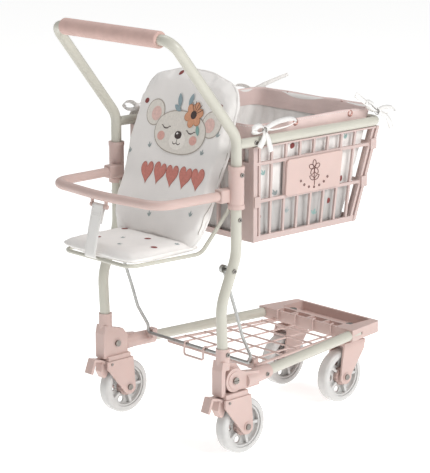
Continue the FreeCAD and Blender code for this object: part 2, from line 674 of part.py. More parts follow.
rim_stubs = []
for tag, side in SIDES:
    stub = rod((UPRIGHT_X, -CRATE_HALF, RIM_Z), (50.6, -CRATE_HALF, RIM_Z), RIM_R)
    stub = stub.cut(rod((U, -T, 440), (U, -T, 500), TUBE_R + 0.1))
    stub = max(stub.Solids, key=lambda s: s.Volume)
    rim_stubs.append(sided(stub, side))
    frame_screws.append(sided(seated(screw(44, -CRATE_HALF - RIM_R + 0.1, RIM_Z, (0, -1, 0), shank=1.0), stub), side))
    frame_screws.append(sided(seated(screw(U, -T - TUBE_R + 0.3, 358, (0, -1, 0), shank=1.0), leg), side))
    frame_screws.append(sided(seated(screw(0.6, -T - TUBE_R + 0.3, 283, (0, -1, 0), shank=1.0), leg), side))
save("rim_stubs", rim_stubs)
save("frame_screws", frame_screws)

# ---------------------------------------------------------------- fabric liner
lf_slope = (303.0 - 250.0) / (468.0 - 322.0)


def liner_front(z):
    return 250.0 + lf_slope * (z - 322.0)


z_lo = CRATE_BOTTOM + 3.8
outer_pts = [(LINER_REAR, z_lo), (liner_front(z_lo), z_lo), (liner_front(COLLAR_TOP), COLLAR_TOP), (LINER_REAR, COLLAR_TOP)]
inner_pts = [
    (LINER_REAR + LINER_T, z_lo + LINER_T),
    (liner_front(z_lo + LINER_T) - LINER_T, z_lo + LINER_T),
    (liner_front(COLLAR_TOP + 1) - LINER_T, COLLAR_TOP + 1),
    (LINER_REAR + LINER_T, COLLAR_TOP + 1),
]
liner = prism(outer_pts, "y", -125.5, 125.5)
liner = liner.cut(prism(inner_pts, "y", -125.5 + LINER_T, 125.5 - LINER_T))
save("basket_liner", liner)

ties = []
for x, y in ((62, -134), (312, -137), (62, 134), (312, 137)):
    knot = rod((x, y, COLLAR_TOP - 14.5), (x, y, COLLAR_TOP - 5.5), 5.0)
    ties.append(knot)
save("liner_ties", ties)

# ---------------------------------------------------------------- doll seat


def seat_x(z):
    return SEAT_LEAN * (z - SEAT_ZERO_Z)


half_widths = [
    (320, 90), (332, 104), (350, 111), (375, 113), (410, 114), (432, 118), (448, 119.5), (462, 117),
    (476, 115.5), (492, 115), (512, 114), (528, 109), (540, 100), (550, 86), (559, 64), (565, 38), (567, 14),
]
ring = [(w, z) for z, w in half_widths] + [(-w, z) for z, w in reversed(half_widths)]
verts = [V(seat_x(z) - SEAT_BACK_T / 2, w, z) for w, z in ring]
curve = Part.BSplineCurve()
curve.interpolate(verts[: len(half_widths)] + verts[len(half_widths):])
edge_top = curve.toShape()
edge_low = Part.makeLine(verts[-1], verts[0])
back_face = Part.Face(Part.Wire([edge_top, edge_low]))
back = back_face.extrude(V(SEAT_BACK_T, 0, -SEAT_BACK_T * SEAT_LEAN))
save("seat_back_pad", back)

pan_pts = [(PAN_REAR, -PAN_HALF + 3), (-20, -PAN_HALF - 3), (-20, PAN_HALF + 3), (PAN_REAR, PAN_HALF - 3)]
pan = prism(pan_pts, "z", PAN_TOP - PAN_T - 3, PAN_TOP - 3)
pan = pan.makeFillet(16.0, [e for e in standing_edges(pan) if e.CenterOfMass.x < -100])
save("seat_pan_pad", pan)

seat_wire = bent_tube(
    [(U - 2, -118.5, 368), (-12, -84, 301.5), (PAN_REAR + 9, -75, 301.5),
     (PAN_REAR + 9, 75, 301.5), (-12, 84, 301.5), (U - 2, 118.5, 368)],
    [14, 18, 18, 14],
    3.0,
)
for side in (-1.0, 1.0):
    seat_wire = seat_wire.fuse(rod((U - 2, side * 118.5, 368), (U - 2, side * 123.5, 378), 3.0))
for side in (-1.0, 1.0):
    seat_wire = seat_wire.cut(rod((U, side * T, 350), (U, side * T, 400), SLEEVE_R + 0.9))
save("seat_wire", seat_wire.removeSplitter())

# ---------------------------------------------------------------- bumper bar and crotch strap
bumper = bent_tube(
    [(-16.3, -124, BUMPER_Z), (-125, -120, BUMPER_Z), (-137, 0, BUMPER_Z),
     (-125, 120, BUMPER_Z), (-16.3, 124, BUMPER_Z)],
    [32, 350, 32],
    BUMPER_R,
)
for side in (-1.0, 1.0):
    bumper = bumper.fuse(rod((-7, side * 124, BUMPER_Z), (-30, side * 123.4, BUMPER_Z), 3.8))
    bumper = bumper.fuse(box(LOOP_X - 2, LOOP_X + 2, side * 15.5 - 1.5, side * 15.5 + 1.5, LOOP_Z, BUMPER_Z - 3))
    bumper = bumper.fuse(rod((LOOP_X, side * 13.5, LOOP_Z), (LOOP_X, side * 18.0, LOOP_Z), 3.6))
bumper = bumper.fuse(rod((LOOP_X, -15, LOOP_Z), (LOOP_X, 15, LOOP_Z), 2.0))
save("bumper_bar", bumper.removeSplitter())

strap = pipe((LOOP_X, -12, LOOP_Z), (LOOP_X, 12, LOOP_Z), 4.2, 2.3)
tail = prism(
    [(LOOP_X - 4.2, LOOP_Z), (PAN_REAR - 2.9, 319), (PAN_REAR - 2.9, 303.4), (PAN_REAR + 3.5, 303.4),
     (PAN_REAR + 3.5, 305.4), (PAN_REAR - 0.6, 305.4), (PAN_REAR - 0.6, 319), (LOOP_X - 2.0, LOOP_Z)],
    "y", -12, 12,
)
tail = tail.cut(rod((LOOP_X, -20, LOOP_Z), (LOOP_X, 20, LOOP_Z), 3.2))
strap = strap.fuse(tail)
save("crotch_strap", max(strap.Solids, key=lambda s: s.Volume))
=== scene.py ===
"""Child's toy shopping trolley: its finishes, sewn pads, lining, ribbons, printed fabric and studio.

The modelled frame is loaded first and is never moved. Everything is in metres, with X forward
from the handle to the front tray, Y to the left and Z up.
"""
import json
import math

import bmesh
import bpy
from bpy.props import FloatProperty, FloatVectorProperty, IntProperty, PointerProperty
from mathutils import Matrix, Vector, noise
from mathutils.bvhtree import BVHTree


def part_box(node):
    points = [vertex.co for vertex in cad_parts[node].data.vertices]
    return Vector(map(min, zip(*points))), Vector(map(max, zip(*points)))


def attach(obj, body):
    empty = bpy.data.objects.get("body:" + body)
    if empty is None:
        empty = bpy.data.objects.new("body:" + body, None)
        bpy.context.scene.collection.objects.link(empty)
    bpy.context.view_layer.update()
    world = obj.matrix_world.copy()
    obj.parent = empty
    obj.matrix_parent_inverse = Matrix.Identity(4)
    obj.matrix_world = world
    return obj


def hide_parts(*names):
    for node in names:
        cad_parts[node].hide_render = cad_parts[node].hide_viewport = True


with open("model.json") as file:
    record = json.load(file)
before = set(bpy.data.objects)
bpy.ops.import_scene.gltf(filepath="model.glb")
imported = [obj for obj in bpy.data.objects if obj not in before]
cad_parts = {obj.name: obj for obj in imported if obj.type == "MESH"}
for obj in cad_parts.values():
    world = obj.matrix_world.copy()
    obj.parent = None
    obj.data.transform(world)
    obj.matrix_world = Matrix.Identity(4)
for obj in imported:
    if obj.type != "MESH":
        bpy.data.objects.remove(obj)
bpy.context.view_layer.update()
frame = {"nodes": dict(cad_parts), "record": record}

bl_info = {
    "name": "Toy Shopping Trolley",
    "version": (1, 0, 0),
    "blender": (4, 5, 0),
    "location": "View3D > Sidebar > Trolley",
    "description": "Finishes, soft goods and studio for a child's toy shopping trolley",
    "category": "Add Mesh",
}

MM = 0.001
ORIGIN_X = -107.95          # the fold hinge's place along X, in mm
CAMERA_TARGET = (-0.01356, 0, 0.29591)
FINISH_OF_NODE = {part["node"]: part["material_slot"] for part in frame["record"]["subparts"]}


# ---------------------------------------------------------------- places and lines
def at(x, y, z):
    """A point given in mm forward of the fold hinge, left of the middle, and above the floor."""
    return Vector(((x + ORIGIN_X) * MM, y * MM, z * MM))


def linear(hex_colour):
    """An sRGB hex value as the linear colour that a shader takes."""
    channels = [int(hex_colour[i:i + 2], 16) / 255 for i in (1, 3, 5)]
    return tuple(c / 12.92 if c <= 0.04045 else ((c + 0.055) / 1.055) ** 2.4 for c in channels) + (1.0,)


def smooth_line(points, steps=6, closed=False):
    """Points along a soft curve through the given ones."""
    count = len(points)
    line = []
    for i in range(count if closed else count - 1):
        if closed:
            a, b, c, d = (points[(i + k) % count] for k in (-1, 0, 1, 2))
        else:
            a, b = points[max(i - 1, 0)], points[i]
            c, d = points[i + 1], points[min(i + 2, count - 1)]
        for s in range(steps):
            t = s / steps
            bend = (2 * a - 5 * b + 4 * c - d) * t * t
            line.append(0.5 * (2 * b + (c - a) * t + bend + (3 * b - a - 3 * c + d) * t ** 3))
    if not closed:
        line.append(points[-1].copy())
    return line


# ---------------------------------------------------------------- settings that a user would change
class TrolleyFinishes(bpy.types.PropertyGroup):
    """Colours of the trolley's finishes."""

    paint: FloatVectorProperty(
        name="Tube paint", description="Powder coat on the steel tubes",
        subtype="COLOR", size=4, min=0, max=1, default=linear("#C6C4B8"),
    )
    moulding: FloatVectorProperty(
        name="Mouldings", description="Pink of the moulded fittings",
        subtype="COLOR", size=4, min=0, max=1, default=linear("#CFB6AF"),
    )
    crate: FloatVectorProperty(
        name="Crate", description="Pink of the basket's crate",
        subtype="COLOR", size=4, min=0, max=1, default=linear("#C8B3AE"),
    )
    grip: FloatVectorProperty(
        name="Grip", description="Foam sleeve on the push handle",
        subtype="COLOR", size=4, min=0, max=1, default=linear("#D3B2A9"),
    )
    cloth: FloatVectorProperty(
        name="Cloth", description="Ground colour of the printed fabric",
        subtype="COLOR", size=4, min=0, max=1, default=linear("#EFECE9"),
    )
    band: FloatVectorProperty(
        name="Band", description="Pink hem band round the top of the lining",
        subtype="COLOR", size=4, min=0, max=1, default=linear("#E2CBC6"),
    )
    ribbon: FloatVectorProperty(
        name="Ribbon", description="Ribbons and webbing",
        subtype="COLOR", size=4, min=0, max=1, default=linear("#EFEDEA"),
    )


class TrolleySewing(bpy.types.PropertyGroup):
    """Sizes of the sewn pieces."""

    back_plump: FloatProperty(
        name="Back plumpness", description="How far the seat back may swell",
        subtype="DISTANCE", unit="LENGTH", default=8 * MM, min=0, max=20 * MM,
    )
    pan_plump: FloatProperty(
        name="Seat plumpness", description="How far the seat pad may swell",
        subtype="DISTANCE", unit="LENGTH", default=5 * MM, min=0, max=20 * MM,
    )
    piping: FloatProperty(
        name="Piping", description="Radius of the piping round the pads",
        subtype="DISTANCE", unit="LENGTH", default=2.3 * MM, min=0.5 * MM, max=6 * MM,
    )
    ribbon_width: FloatProperty(
        name="Ribbon width", description="Width of the ribbon in the bows",
        subtype="DISTANCE", unit="LENGTH", default=9 * MM, min=3 * MM, max=25 * MM,
    )
    lining_wave: FloatProperty(
        name="Lining wave", description="Depth of the soft folds in the lining",
        subtype="DISTANCE", unit="LENGTH", default=4.4 * MM, min=0, max=6 * MM,
    )
    stitch: FloatProperty(
        name="Stitch length", description="Length of one seam stitch",
        subtype="DISTANCE", unit="LENGTH", default=3.2 * MM, min=1 * MM, max=10 * MM,
    )
    seed: IntProperty(name="Seed", description="Chooses the folds of the fabric", default=7, min=0)


class TrolleyStudio(bpy.types.PropertyGroup):
    """Light and camera."""

    key: FloatProperty(name="Key light", description="Power of the main soft light", default=70, min=0)
    fill: FloatProperty(name="Fill light", description="Power of the fill light", default=1.5, min=0)
    top: FloatProperty(name="Top light", description="Power of the overhead light", default=22, min=0)
    sky: FloatProperty(name="Room light", description="Strength of the even room light", default=0.41, min=0)
    paper: FloatProperty(
        name="Lit floor", description="Light that the back-lit paper floor gives off", default=0.55, min=0,
    )
    lens: FloatProperty(
        name="Lens", description="Focal length", subtype="DISTANCE_CAMERA", default=150.6, min=10,
    )
    azimuth: FloatProperty(
        name="Azimuth", description="Camera angle round the trolley",
        subtype="ANGLE", unit="ROTATION", default=math.radians(-43.04),
    )
    elevation: FloatProperty(
        name="Elevation", description="Camera angle above the floor",
        subtype="ANGLE", unit="ROTATION", default=math.radians(13.25),
    )
    distance: FloatProperty(
        name="Distance", description="From the camera to the point that it looks at",
        subtype="DISTANCE", unit="LENGTH", default=3.04213, min=0.5,
    )


# ---------------------------------------------------------------- materials
def add_node(tree, kind, inputs=None, **settings):
    """Adds one node to a material. inputs holds a value, or the socket that feeds it, for each input."""
    made = tree.nodes.new(kind)
    for name, value in settings.items():
        setattr(made, name, value)
    for name, value in (inputs or {}).items():
        if isinstance(value, bpy.types.NodeSocket):
            tree.links.new(value, made.inputs[name])
        else:
            made.inputs[name].default_value = value
    return made


def per_metre(size_mm):
    """Texture scale at which one grain of a noise or cell pattern is this many millimetres."""
    return 1000.0 / size_mm


def wave_scale(period_mm):
    """Scale at which a wave texture's bands repeat every so many millimetres."""
    return 2 * math.pi / 20 / (period_mm * MM)


def new_material(name, **surface):
    """A material with its surface shader; surface gives the shader's fixed values."""
    material = bpy.data.materials.new(name)
    material.use_nodes = True
    tree = material.node_tree
    shader = tree.nodes["Principled BSDF"]
    for socket, value in surface.items():
        shader.inputs[socket.replace("_", " ")].default_value = value
    place = add_node(tree, "ShaderNodeTexCoord").outputs["Object"]
    return material, tree, shader, place


def shade(colour, amount):
    """A colour made darker or lighter by a factor."""
    return tuple(min(1.0, c * amount) for c in colour[:3]) + (1.0,)


def mottled(tree, shader, place, colour, size_mm, low, high, detail=3.0):
    """Base colour that drifts between two strengths of one colour, over patches of a given size."""
    cloud = add_node(
        tree, "ShaderNodeTexNoise", {"Vector": place, "Scale": per_metre(size_mm), "Detail": detail},
    )
    ramp = add_node(tree, "ShaderNodeValToRGB", {"Fac": cloud.outputs["Fac"]})
    ramp.color_ramp.elements[0].position = 0.3
    ramp.color_ramp.elements[0].color = shade(colour, low)
    ramp.color_ramp.elements[1].position = 0.7
    ramp.color_ramp.elements[1].color = shade(colour, high)
    tree.links.new(ramp.outputs["Color"], shader.inputs["Base Color"])
    return ramp.outputs["Color"]


def grained(tree, shader, height, strength, depth_mm):
    """Raises the surface by a height pattern, to a real depth."""
    bump = add_node(
        tree, "ShaderNodeBump", {"Height": height, "Strength": strength, "Distance": depth_mm * MM},
    )
    tree.links.new(bump.outputs["Normal"], shader.inputs["Normal"])


def powder_coated_steel(colour):
    # Polyester powder baked on steel tube: an even satin coat whose faint orange peel softens the
    # highlights. The peel is about 1 mm across, and is drawn at 4 mm so that it shows.
    material, tree, shader, place = new_material(
        "Powder-coated steel, cream", Roughness=0.36, IOR=1.5, Coat_Weight=0.25, Coat_Roughness=0.22,
    )
    mottled(tree, shader, place, colour, 60, 0.965, 1.02)
    peel = add_node(tree, "ShaderNodeTexNoise", {"Vector": place, "Scale": per_metre(4), "Detail": 2.0})
    grained(tree, shader, peel.outputs["Fac"], 0.16, 0.25)
    return material


def moulded_polypropylene(name, colour, roughness):
    # Injection-moulded polypropylene: dyed through, a little light passes into it, and the fine
    # spark-eroded skin of the mould breaks up the gloss. The skin is drawn at 2.5 mm instead of 0.1.
    material, tree, shader, place = new_material(
        name, Roughness=roughness, IOR=1.49, Subsurface_Weight=0.06,
    )
    shader.inputs["Subsurface Radius"].default_value = (0.004, 0.002, 0.0015)
    mottled(tree, shader, place, colour, 45, 0.96, 1.025)
    skin = add_node(tree, "ShaderNodeTexNoise", {"Vector": place, "Scale": per_metre(2.5), "Detail": 3.0})
    wear = add_node(tree, "ShaderNodeTexNoise", {"Vector": place, "Scale": per_metre(22), "Detail": 4.0})
    gloss = add_node(
        tree, "ShaderNodeMapRange",
        {
            "Value": wear.outputs["Fac"], "From Min": 0.3, "From Max": 0.7,
            "To Min": roughness - 0.05, "To Max": roughness + 0.08,
        },
    )
    tree.links.new(gloss.outputs["Result"], shader.inputs["Roughness"])
    grained(tree, shader, skin.outputs["Fac"], 0.12, 0.2)
    return material


def foam_sleeve(colour):
    # Closed-cell foam sleeve: matt and slightly open, with cells about 1 mm across drawn at 3 mm.
    material, tree, shader, place = new_material(
        "Foam sleeve, dusty pink", Roughness=0.62, IOR=1.45, Sheen_Weight=0.12,
    )
    mottled(tree, shader, place, colour, 14, 0.93, 1.03)
    cells = add_node(tree, "ShaderNodeTexVoronoi", {"Vector": place, "Scale": per_metre(3)})
    grained(tree, shader, cells.outputs["Distance"], 0.14, 0.3)
    return material


def zinc_plated_wire():
    # Bright zinc on drawn steel wire: a grey metal whose crystals and drawing marks blur reflections.
    material, tree, shader, place = new_material("Zinc-plated wire", Metallic=1.0, Roughness=0.34)
    mottled(tree, shader, place, linear("#B9BAB8"), 6, 0.8, 1.05)
    marks = add_node(tree, "ShaderNodeTexNoise", {"Vector": place, "Scale": per_metre(2.5), "Detail": 5.0})
    grained(tree, shader, marks.outputs["Fac"], 0.2, 0.15)
    return material


def plated_screw():
    # Nickel-plated screws and rivets: bright metal, with faint handling marks in the plate.
    material, tree, shader, place = new_material("Nickel-plated fasteners", Metallic=1.0, Roughness=0.18)
    mottled(tree, shader, place, linear("#96928D"), 5, 0.8, 1.0)
    rub = add_node(tree, "ShaderNodeTexNoise", {"Vector": place, "Scale": per_metre(3), "Detail": 4.0})
    gloss = add_node(tree, "ShaderNodeMapRange", {"Value": rub.outputs["Fac"], "To Min": 0.12, "To Max": 0.3})
    tree.links.new(gloss.outputs["Result"], shader.inputs["Roughness"])
    return material


def coated_wire(colour):
    # Steel wire dipped in plastic powder: thicker and glossier than the tube paint, pooled in places.
    material, tree, shader, place = new_material(
        "Dip-coated wire, pink", Roughness=0.3, IOR=1.5, Coat_Weight=0.3,
    )
    mottled(tree, shader, place, colour, 18, 0.94, 1.03)
    pool = add_node(tree, "ShaderNodeTexNoise", {"Vector": place, "Scale": per_metre(6), "Detail": 1.0})
    grained(tree, shader, pool.outputs["Fac"], 0.2, 0.3)
    return material


def clear_tyre():
    # Milky flexible PVC: light passes a few millimetres in and the moulded tread is glossy.
    material, tree, shader, place = new_material(
        "Milky PVC tyre", Roughness=0.2, IOR=1.53,
        Subsurface_Weight=0.35, Coat_Weight=0.4, Coat_Roughness=0.08,
    )
    shader.inputs["Subsurface Radius"].default_value = (0.006, 0.006, 0.006)
    mottled(tree, shader, place, linear("#D2D1CF"), 12, 0.93, 1.0)
    ripple = add_node(tree, "ShaderNodeTexNoise", {"Vector": place, "Scale": per_metre(7), "Detail": 2.0})
    grained(tree, shader, ripple.outputs["Fac"], 0.25, 0.4)
    return material


def woven(tree, place, across, along, thread_mm):
    """Height pattern of a plain weave: two sets of threads that cross."""
    warp = add_node(
        tree, "ShaderNodeTexWave", {"Vector": place, "Scale": wave_scale(thread_mm), "Distortion": 0.4},
        bands_direction=across,
    )
    weft = add_node(
        tree, "ShaderNodeTexWave", {"Vector": place, "Scale": wave_scale(thread_mm), "Distortion": 0.4},
        bands_direction=along,
    )
    return add_node(
        tree, "ShaderNodeMath", {0: warp.outputs["Fac"], 1: weft.outputs["Fac"]}, operation="MULTIPLY",
    ).outputs["Value"]


def polyester_canvas(name, colour, across, along, roughness=0.82, low=0.95):
    # Plain-woven polyester, printed and hemmed: matt, with a slight fuzz at grazing angles. Threads are
    # 0.4 mm apart and are drawn at 2.4 mm, with soft creases about 40 mm apart as a sewn cover has.
    material, tree, shader, place = new_material(
        name, Roughness=roughness, IOR=1.47, Sheen_Weight=0.25, Sheen_Roughness=0.5,
    )
    mottled(tree, shader, place, colour, 38, low, 1.01)
    weave = woven(tree, place, across, along, 2.4)
    crease = add_node(
        tree, "ShaderNodeTexNoise",
        {"Vector": place, "Scale": per_metre(40), "Detail": 3.0, "Distortion": 0.6},
    )
    fine = add_node(tree, "ShaderNodeBump", {"Height": weave, "Strength": 0.22, "Distance": 0.2 * MM})
    soft = add_node(
        tree, "ShaderNodeBump",
        {
            "Height": crease.outputs["Fac"], "Strength": 0.4, "Distance": 2.5 * MM,
            "Normal": fine.outputs["Normal"],
        },
    )
    tree.links.new(soft.outputs["Normal"], shader.inputs["Normal"])
    return material


def lining_canvas(colour):
    # The same cloth where it hangs inside the crate, with painted shade: its colour darkens towards the
    # floor, where the crate shades the lower lining.
    material, tree, shader, place = new_material(
        "Polyester canvas, lining", Roughness=0.85, IOR=1.47, Sheen_Weight=0.2,
    )
    ground = mottled(tree, shader, place, colour, 38, 0.93, 1.0)
    # Painted shade: below 0.36 m the colour is multiplied by 0.62, rising to full strength at 0.40 m.
    height = add_node(tree, "ShaderNodeSeparateXYZ", {"Vector": place}).outputs["Z"]
    depth = add_node(
        tree, "ShaderNodeMapRange",
        {"Value": height, "From Min": 0.36, "From Max": 0.40, "To Min": 0.62, "To Max": 1.0},
    ).outputs["Result"]
    painted_shade = add_node(
        tree, "ShaderNodeMix", {"Factor": 1.0, "A": ground, "B": depth},
        data_type="RGBA", blend_type="MULTIPLY",
    )
    tree.links.new(painted_shade.outputs["Result"], shader.inputs["Base Color"])
    grained(tree, shader, woven(tree, place, "X", "Z", 2.4), 0.22, 0.2)
    return material


def satin_ribbon(colour):
    # Polyester satin ribbon: long floats of bright thread give a soft sheen along it.
    material, tree, shader, place = new_material(
        "Satin ribbon, white", Roughness=0.4, IOR=1.5, Sheen_Weight=0.35,
    )
    mottled(tree, shader, place, colour, 9, 0.9, 1.0)
    floats = woven(tree, place, "X", "Z", 1.8)
    grained(tree, shader, floats, 0.15, 0.15)
    return material


def textile_ink(name, hex_colour, grain=0.86):
    # Screen-printed textile ink: it sits on the threads, so the weave and a little ground show through.
    material, tree, shader, place = new_material("Textile ink, " + name, Roughness=0.75, IOR=1.47)
    mottled(tree, shader, place, linear(hex_colour), 3.5, grain, 1.05, detail=5.0)
    grained(tree, shader, woven(tree, place, "Y", "Z", 2.4), 0.2, 0.15)
    return material


def brass_eyelet():
    # Pressed eyelet in lacquered metal: a rose tone with a rubbed edge.
    material, tree, shader, place = new_material("Pressed eyelet, rose metal", Metallic=1.0, Roughness=0.3)
    mottled(tree, shader, place, linear("#C89A90"), 3, 0.75, 1.0)
    return material


# ---------------------------------------------------------------- pieces
def dressed(name):
    """One of the trolley's materials, made once from the user's colours."""
    finishes = bpy.context.scene.trolley_finishes
    makers = {
        "frame_paint": lambda: powder_coated_steel(finishes.paint),
        "pink_plastic": lambda: moulded_polypropylene("Moulded polypropylene, pink", finishes.moulding, 0.38),
        "pink_crate": lambda: moulded_polypropylene(
            "Moulded polypropylene, crate pink", finishes.crate, 0.42,
        ),
        "grip_foam": lambda: foam_sleeve(finishes.grip),
        "pink_wire": lambda: coated_wire(finishes.moulding),
        "zinc_wire": zinc_plated_wire,
        "chrome": plated_screw,
        "wheel_white": clear_tyre,
        "cover_back": lambda: polyester_canvas("Polyester canvas, seat back", finishes.cloth, "Y", "Z"),
        "cover_pan": lambda: polyester_canvas("Polyester canvas, seat pad", finishes.cloth, "X", "Y"),
        "lining": lambda: lining_canvas(finishes.cloth),
        "band": lambda: polyester_canvas("Polyester canvas, pink band", finishes.band, "X", "Z", low=0.9),
        "ribbon": lambda: satin_ribbon(finishes.ribbon),
        "webbing": lambda: polyester_canvas(
            "Polyester webbing, white", finishes.ribbon, "Y", "Z", roughness=0.7,
        ),
        "eyelet": brass_eyelet,
    }
    key = "trolley " + name
    for material in bpy.data.materials:
        if material.get("trolley") == key:
            return material
    material = makers[name]()
    material["trolley"] = key
    return material


def ink(name, hex_colour, grain=0.86):
    for material in bpy.data.materials:
        if material.get("trolley") == "ink " + name:
            return material
    material = textile_ink(name, hex_colour, grain)
    material["trolley"] = "ink " + name
    return material


def finish_nodes(*slots):
    """Gives every carried-over part in these slots its finish."""
    for node, slot in sorted(FINISH_OF_NODE.items()):
        if slot in slots:
            part = frame["nodes"][node]
            material = dressed(slot)
            if not part.material_slots:
                part.data.materials.append(material)
            for place in part.material_slots:
                place.material = material


def mesh_piece(name, points, faces, material, smooth=True, body="frame"):
    """A new piece from points and faces, riding on a body."""
    mesh = bpy.data.meshes.new(name)
    mesh.from_pydata([tuple(p) for p in points], [], faces)
    form = bmesh.new()
    form.from_mesh(mesh)
    bmesh.ops.remove_doubles(form, verts=form.verts, dist=0.02 * MM)
    bmesh.ops.recalc_face_normals(form, faces=form.faces)
    form.to_mesh(mesh)
    form.free()
    for polygon in mesh.polygons:
        polygon.use_smooth = smooth
    for one in material if isinstance(material, list) else [material]:
        mesh.materials.append(one)
    piece = bpy.data.objects.new(name, mesh)
    bpy.context.scene.collection.objects.link(piece)
    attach(piece, body)
    return piece


def curve_piece(name, lines, radius, material, closed=False, sides=3, body="frame"):
    """A round cord, seam or wire along one or more lines."""
    curve = bpy.data.curves.new(name, "CURVE")
    curve.dimensions = "3D"
    curve.bevel_depth = radius
    curve.bevel_resolution = sides
    curve.use_fill_caps = not closed
    for line in lines:
        spline = curve.splines.new("POLY")
        spline.points.add(len(line) - 1)
        for point, place in zip(spline.points, line):
            point.co = (*place, 1.0)
        spline.use_cyclic_u = closed
        spline.use_smooth = True
    curve.materials.append(material)
    piece = bpy.data.objects.new(name, curve)
    bpy.context.scene.collection.objects.link(piece)
    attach(piece, body)
    return piece


def finished_mesh(piece):
    """The piece's mesh with its modifiers worked out."""
    bpy.context.view_layer.update()
    return bpy.data.meshes.new_from_object(piece.evaluated_get(bpy.context.evaluated_depsgraph_get()))


def settle_modifiers(piece):
    """Applies what the modifiers made and takes them off."""
    mesh = finished_mesh(piece)
    piece.modifiers.clear()
    piece.data = mesh
    for polygon in mesh.polygons:
        polygon.use_smooth = True


def stuffed(piece, cap, voxel=4 * MM, pressure=4.0, frames=20):
    """Fills a sewn cover: an even mesh, cloth that swells, and a cap on how far any point moves."""
    even = piece.modifiers.new("even mesh", "REMESH")
    even.mode = "VOXEL"
    even.voxel_size = voxel
    settle_modifiers(piece)
    rest = [v.co.copy() for v in piece.data.vertices]
    scene = bpy.context.scene
    scene.frame_set(1)
    cloth = piece.modifiers.new("stuffing", "CLOTH")
    cloth.settings.quality = 5
    cloth.settings.mass = 0.25
    cloth.settings.tension_stiffness = 18
    cloth.settings.compression_stiffness = 18
    cloth.settings.bending_stiffness = 0.6
    cloth.settings.use_pressure = True
    cloth.settings.uniform_pressure_force = pressure
    cloth.settings.effector_weights.gravity = 0
    cloth.point_cache.frame_start = 1
    cloth.point_cache.frame_end = frames
    for step in range(1, frames + 1):
        scene.frame_set(step)
    settle_modifiers(piece)
    scene.frame_set(1)
    for vertex, start in zip(piece.data.vertices, rest):
        move = vertex.co - start
        if move.length > cap:
            vertex.co = start + move * (cap / move.length)
    form = bmesh.new()
    form.from_mesh(piece.data)
    for _ in range(2):
        bmesh.ops.smooth_vert(
            form, verts=form.verts, factor=0.4, use_axis_x=True, use_axis_y=True, use_axis_z=True,
        )
    form.to_mesh(piece.data)
    form.free()
    finer = piece.modifiers.new("finer", "SUBSURF")
    finer.levels = finer.render_levels = 1
    settle_modifiers(piece)
    return piece


def length_of(line):
    """Length along a line of points."""
    return sum((b - a).length for a, b in zip(line, line[1:]))


def ring_faces(rows, count):
    """Faces between rows of points that each close into a ring."""
    return [
        (r * count + i, r * count + (i + 1) % count, (r + 1) * count + (i + 1) % count, (r + 1) * count + i)
        for r in range(rows - 1) for i in range(count)
    ]


def surface_of(piece):
    """A search tree over a piece's surface."""
    mesh = piece.data if piece.type == "MESH" else finished_mesh(piece)
    corners = [v.co.copy() for v in mesh.vertices]
    return BVHTree.FromPolygons(corners, [tuple(p.vertices) for p in mesh.polygons])


def strip(line, hints, width, points, faces, taper=None):
    """Adds a flat ribbon along a line to the lists. hints lean the ribbon's face."""
    base = len(points)
    count = len(line)
    for i, place in enumerate(line):
        ahead = (line[min(i + 1, count - 1)] - line[max(i - 1, 0)]).normalized()
        side = ahead.cross(hints[i]).normalized()
        half = width / 2 * (taper(i / (count - 1)) if taper else 1.0)
        middle = hints[i].normalized() * width * 0.06
        points.extend([place - side * half, place + middle, place + side * half])
    for i in range(count - 1):
        for k in range(2):
            a = base + 3 * i + k
            faces.append((a, a + 1, a + 4, a + 3))


def thicken(piece, thickness, bevel=0.0):
    solid = piece.modifiers.new("thickness", "SOLIDIFY")
    solid.thickness = thickness
    solid.offset = 0
    if bevel:
        edge = piece.modifiers.new("soft edge", "BEVEL")
        edge.width = bevel
        edge.segments = 2
    settle_modifiers(piece)


def stitches(line, length, gap):
    """Cuts a line into separate stitches."""
    made, run, inside = [], [], 0.0
    for a, b in zip(line, line[1:]):
        span = (b - a).length
        steps = max(1, int(span / (0.8 * MM)))
        for s in range(steps):
            place = a.lerp(b, s / steps)
            inside += span / steps
            if inside % (length + gap) < length:
                run.append(place)
            elif run:
                if len(run) > 1:
                    made.append([run[0], run[-1]])
                run = []
    return made


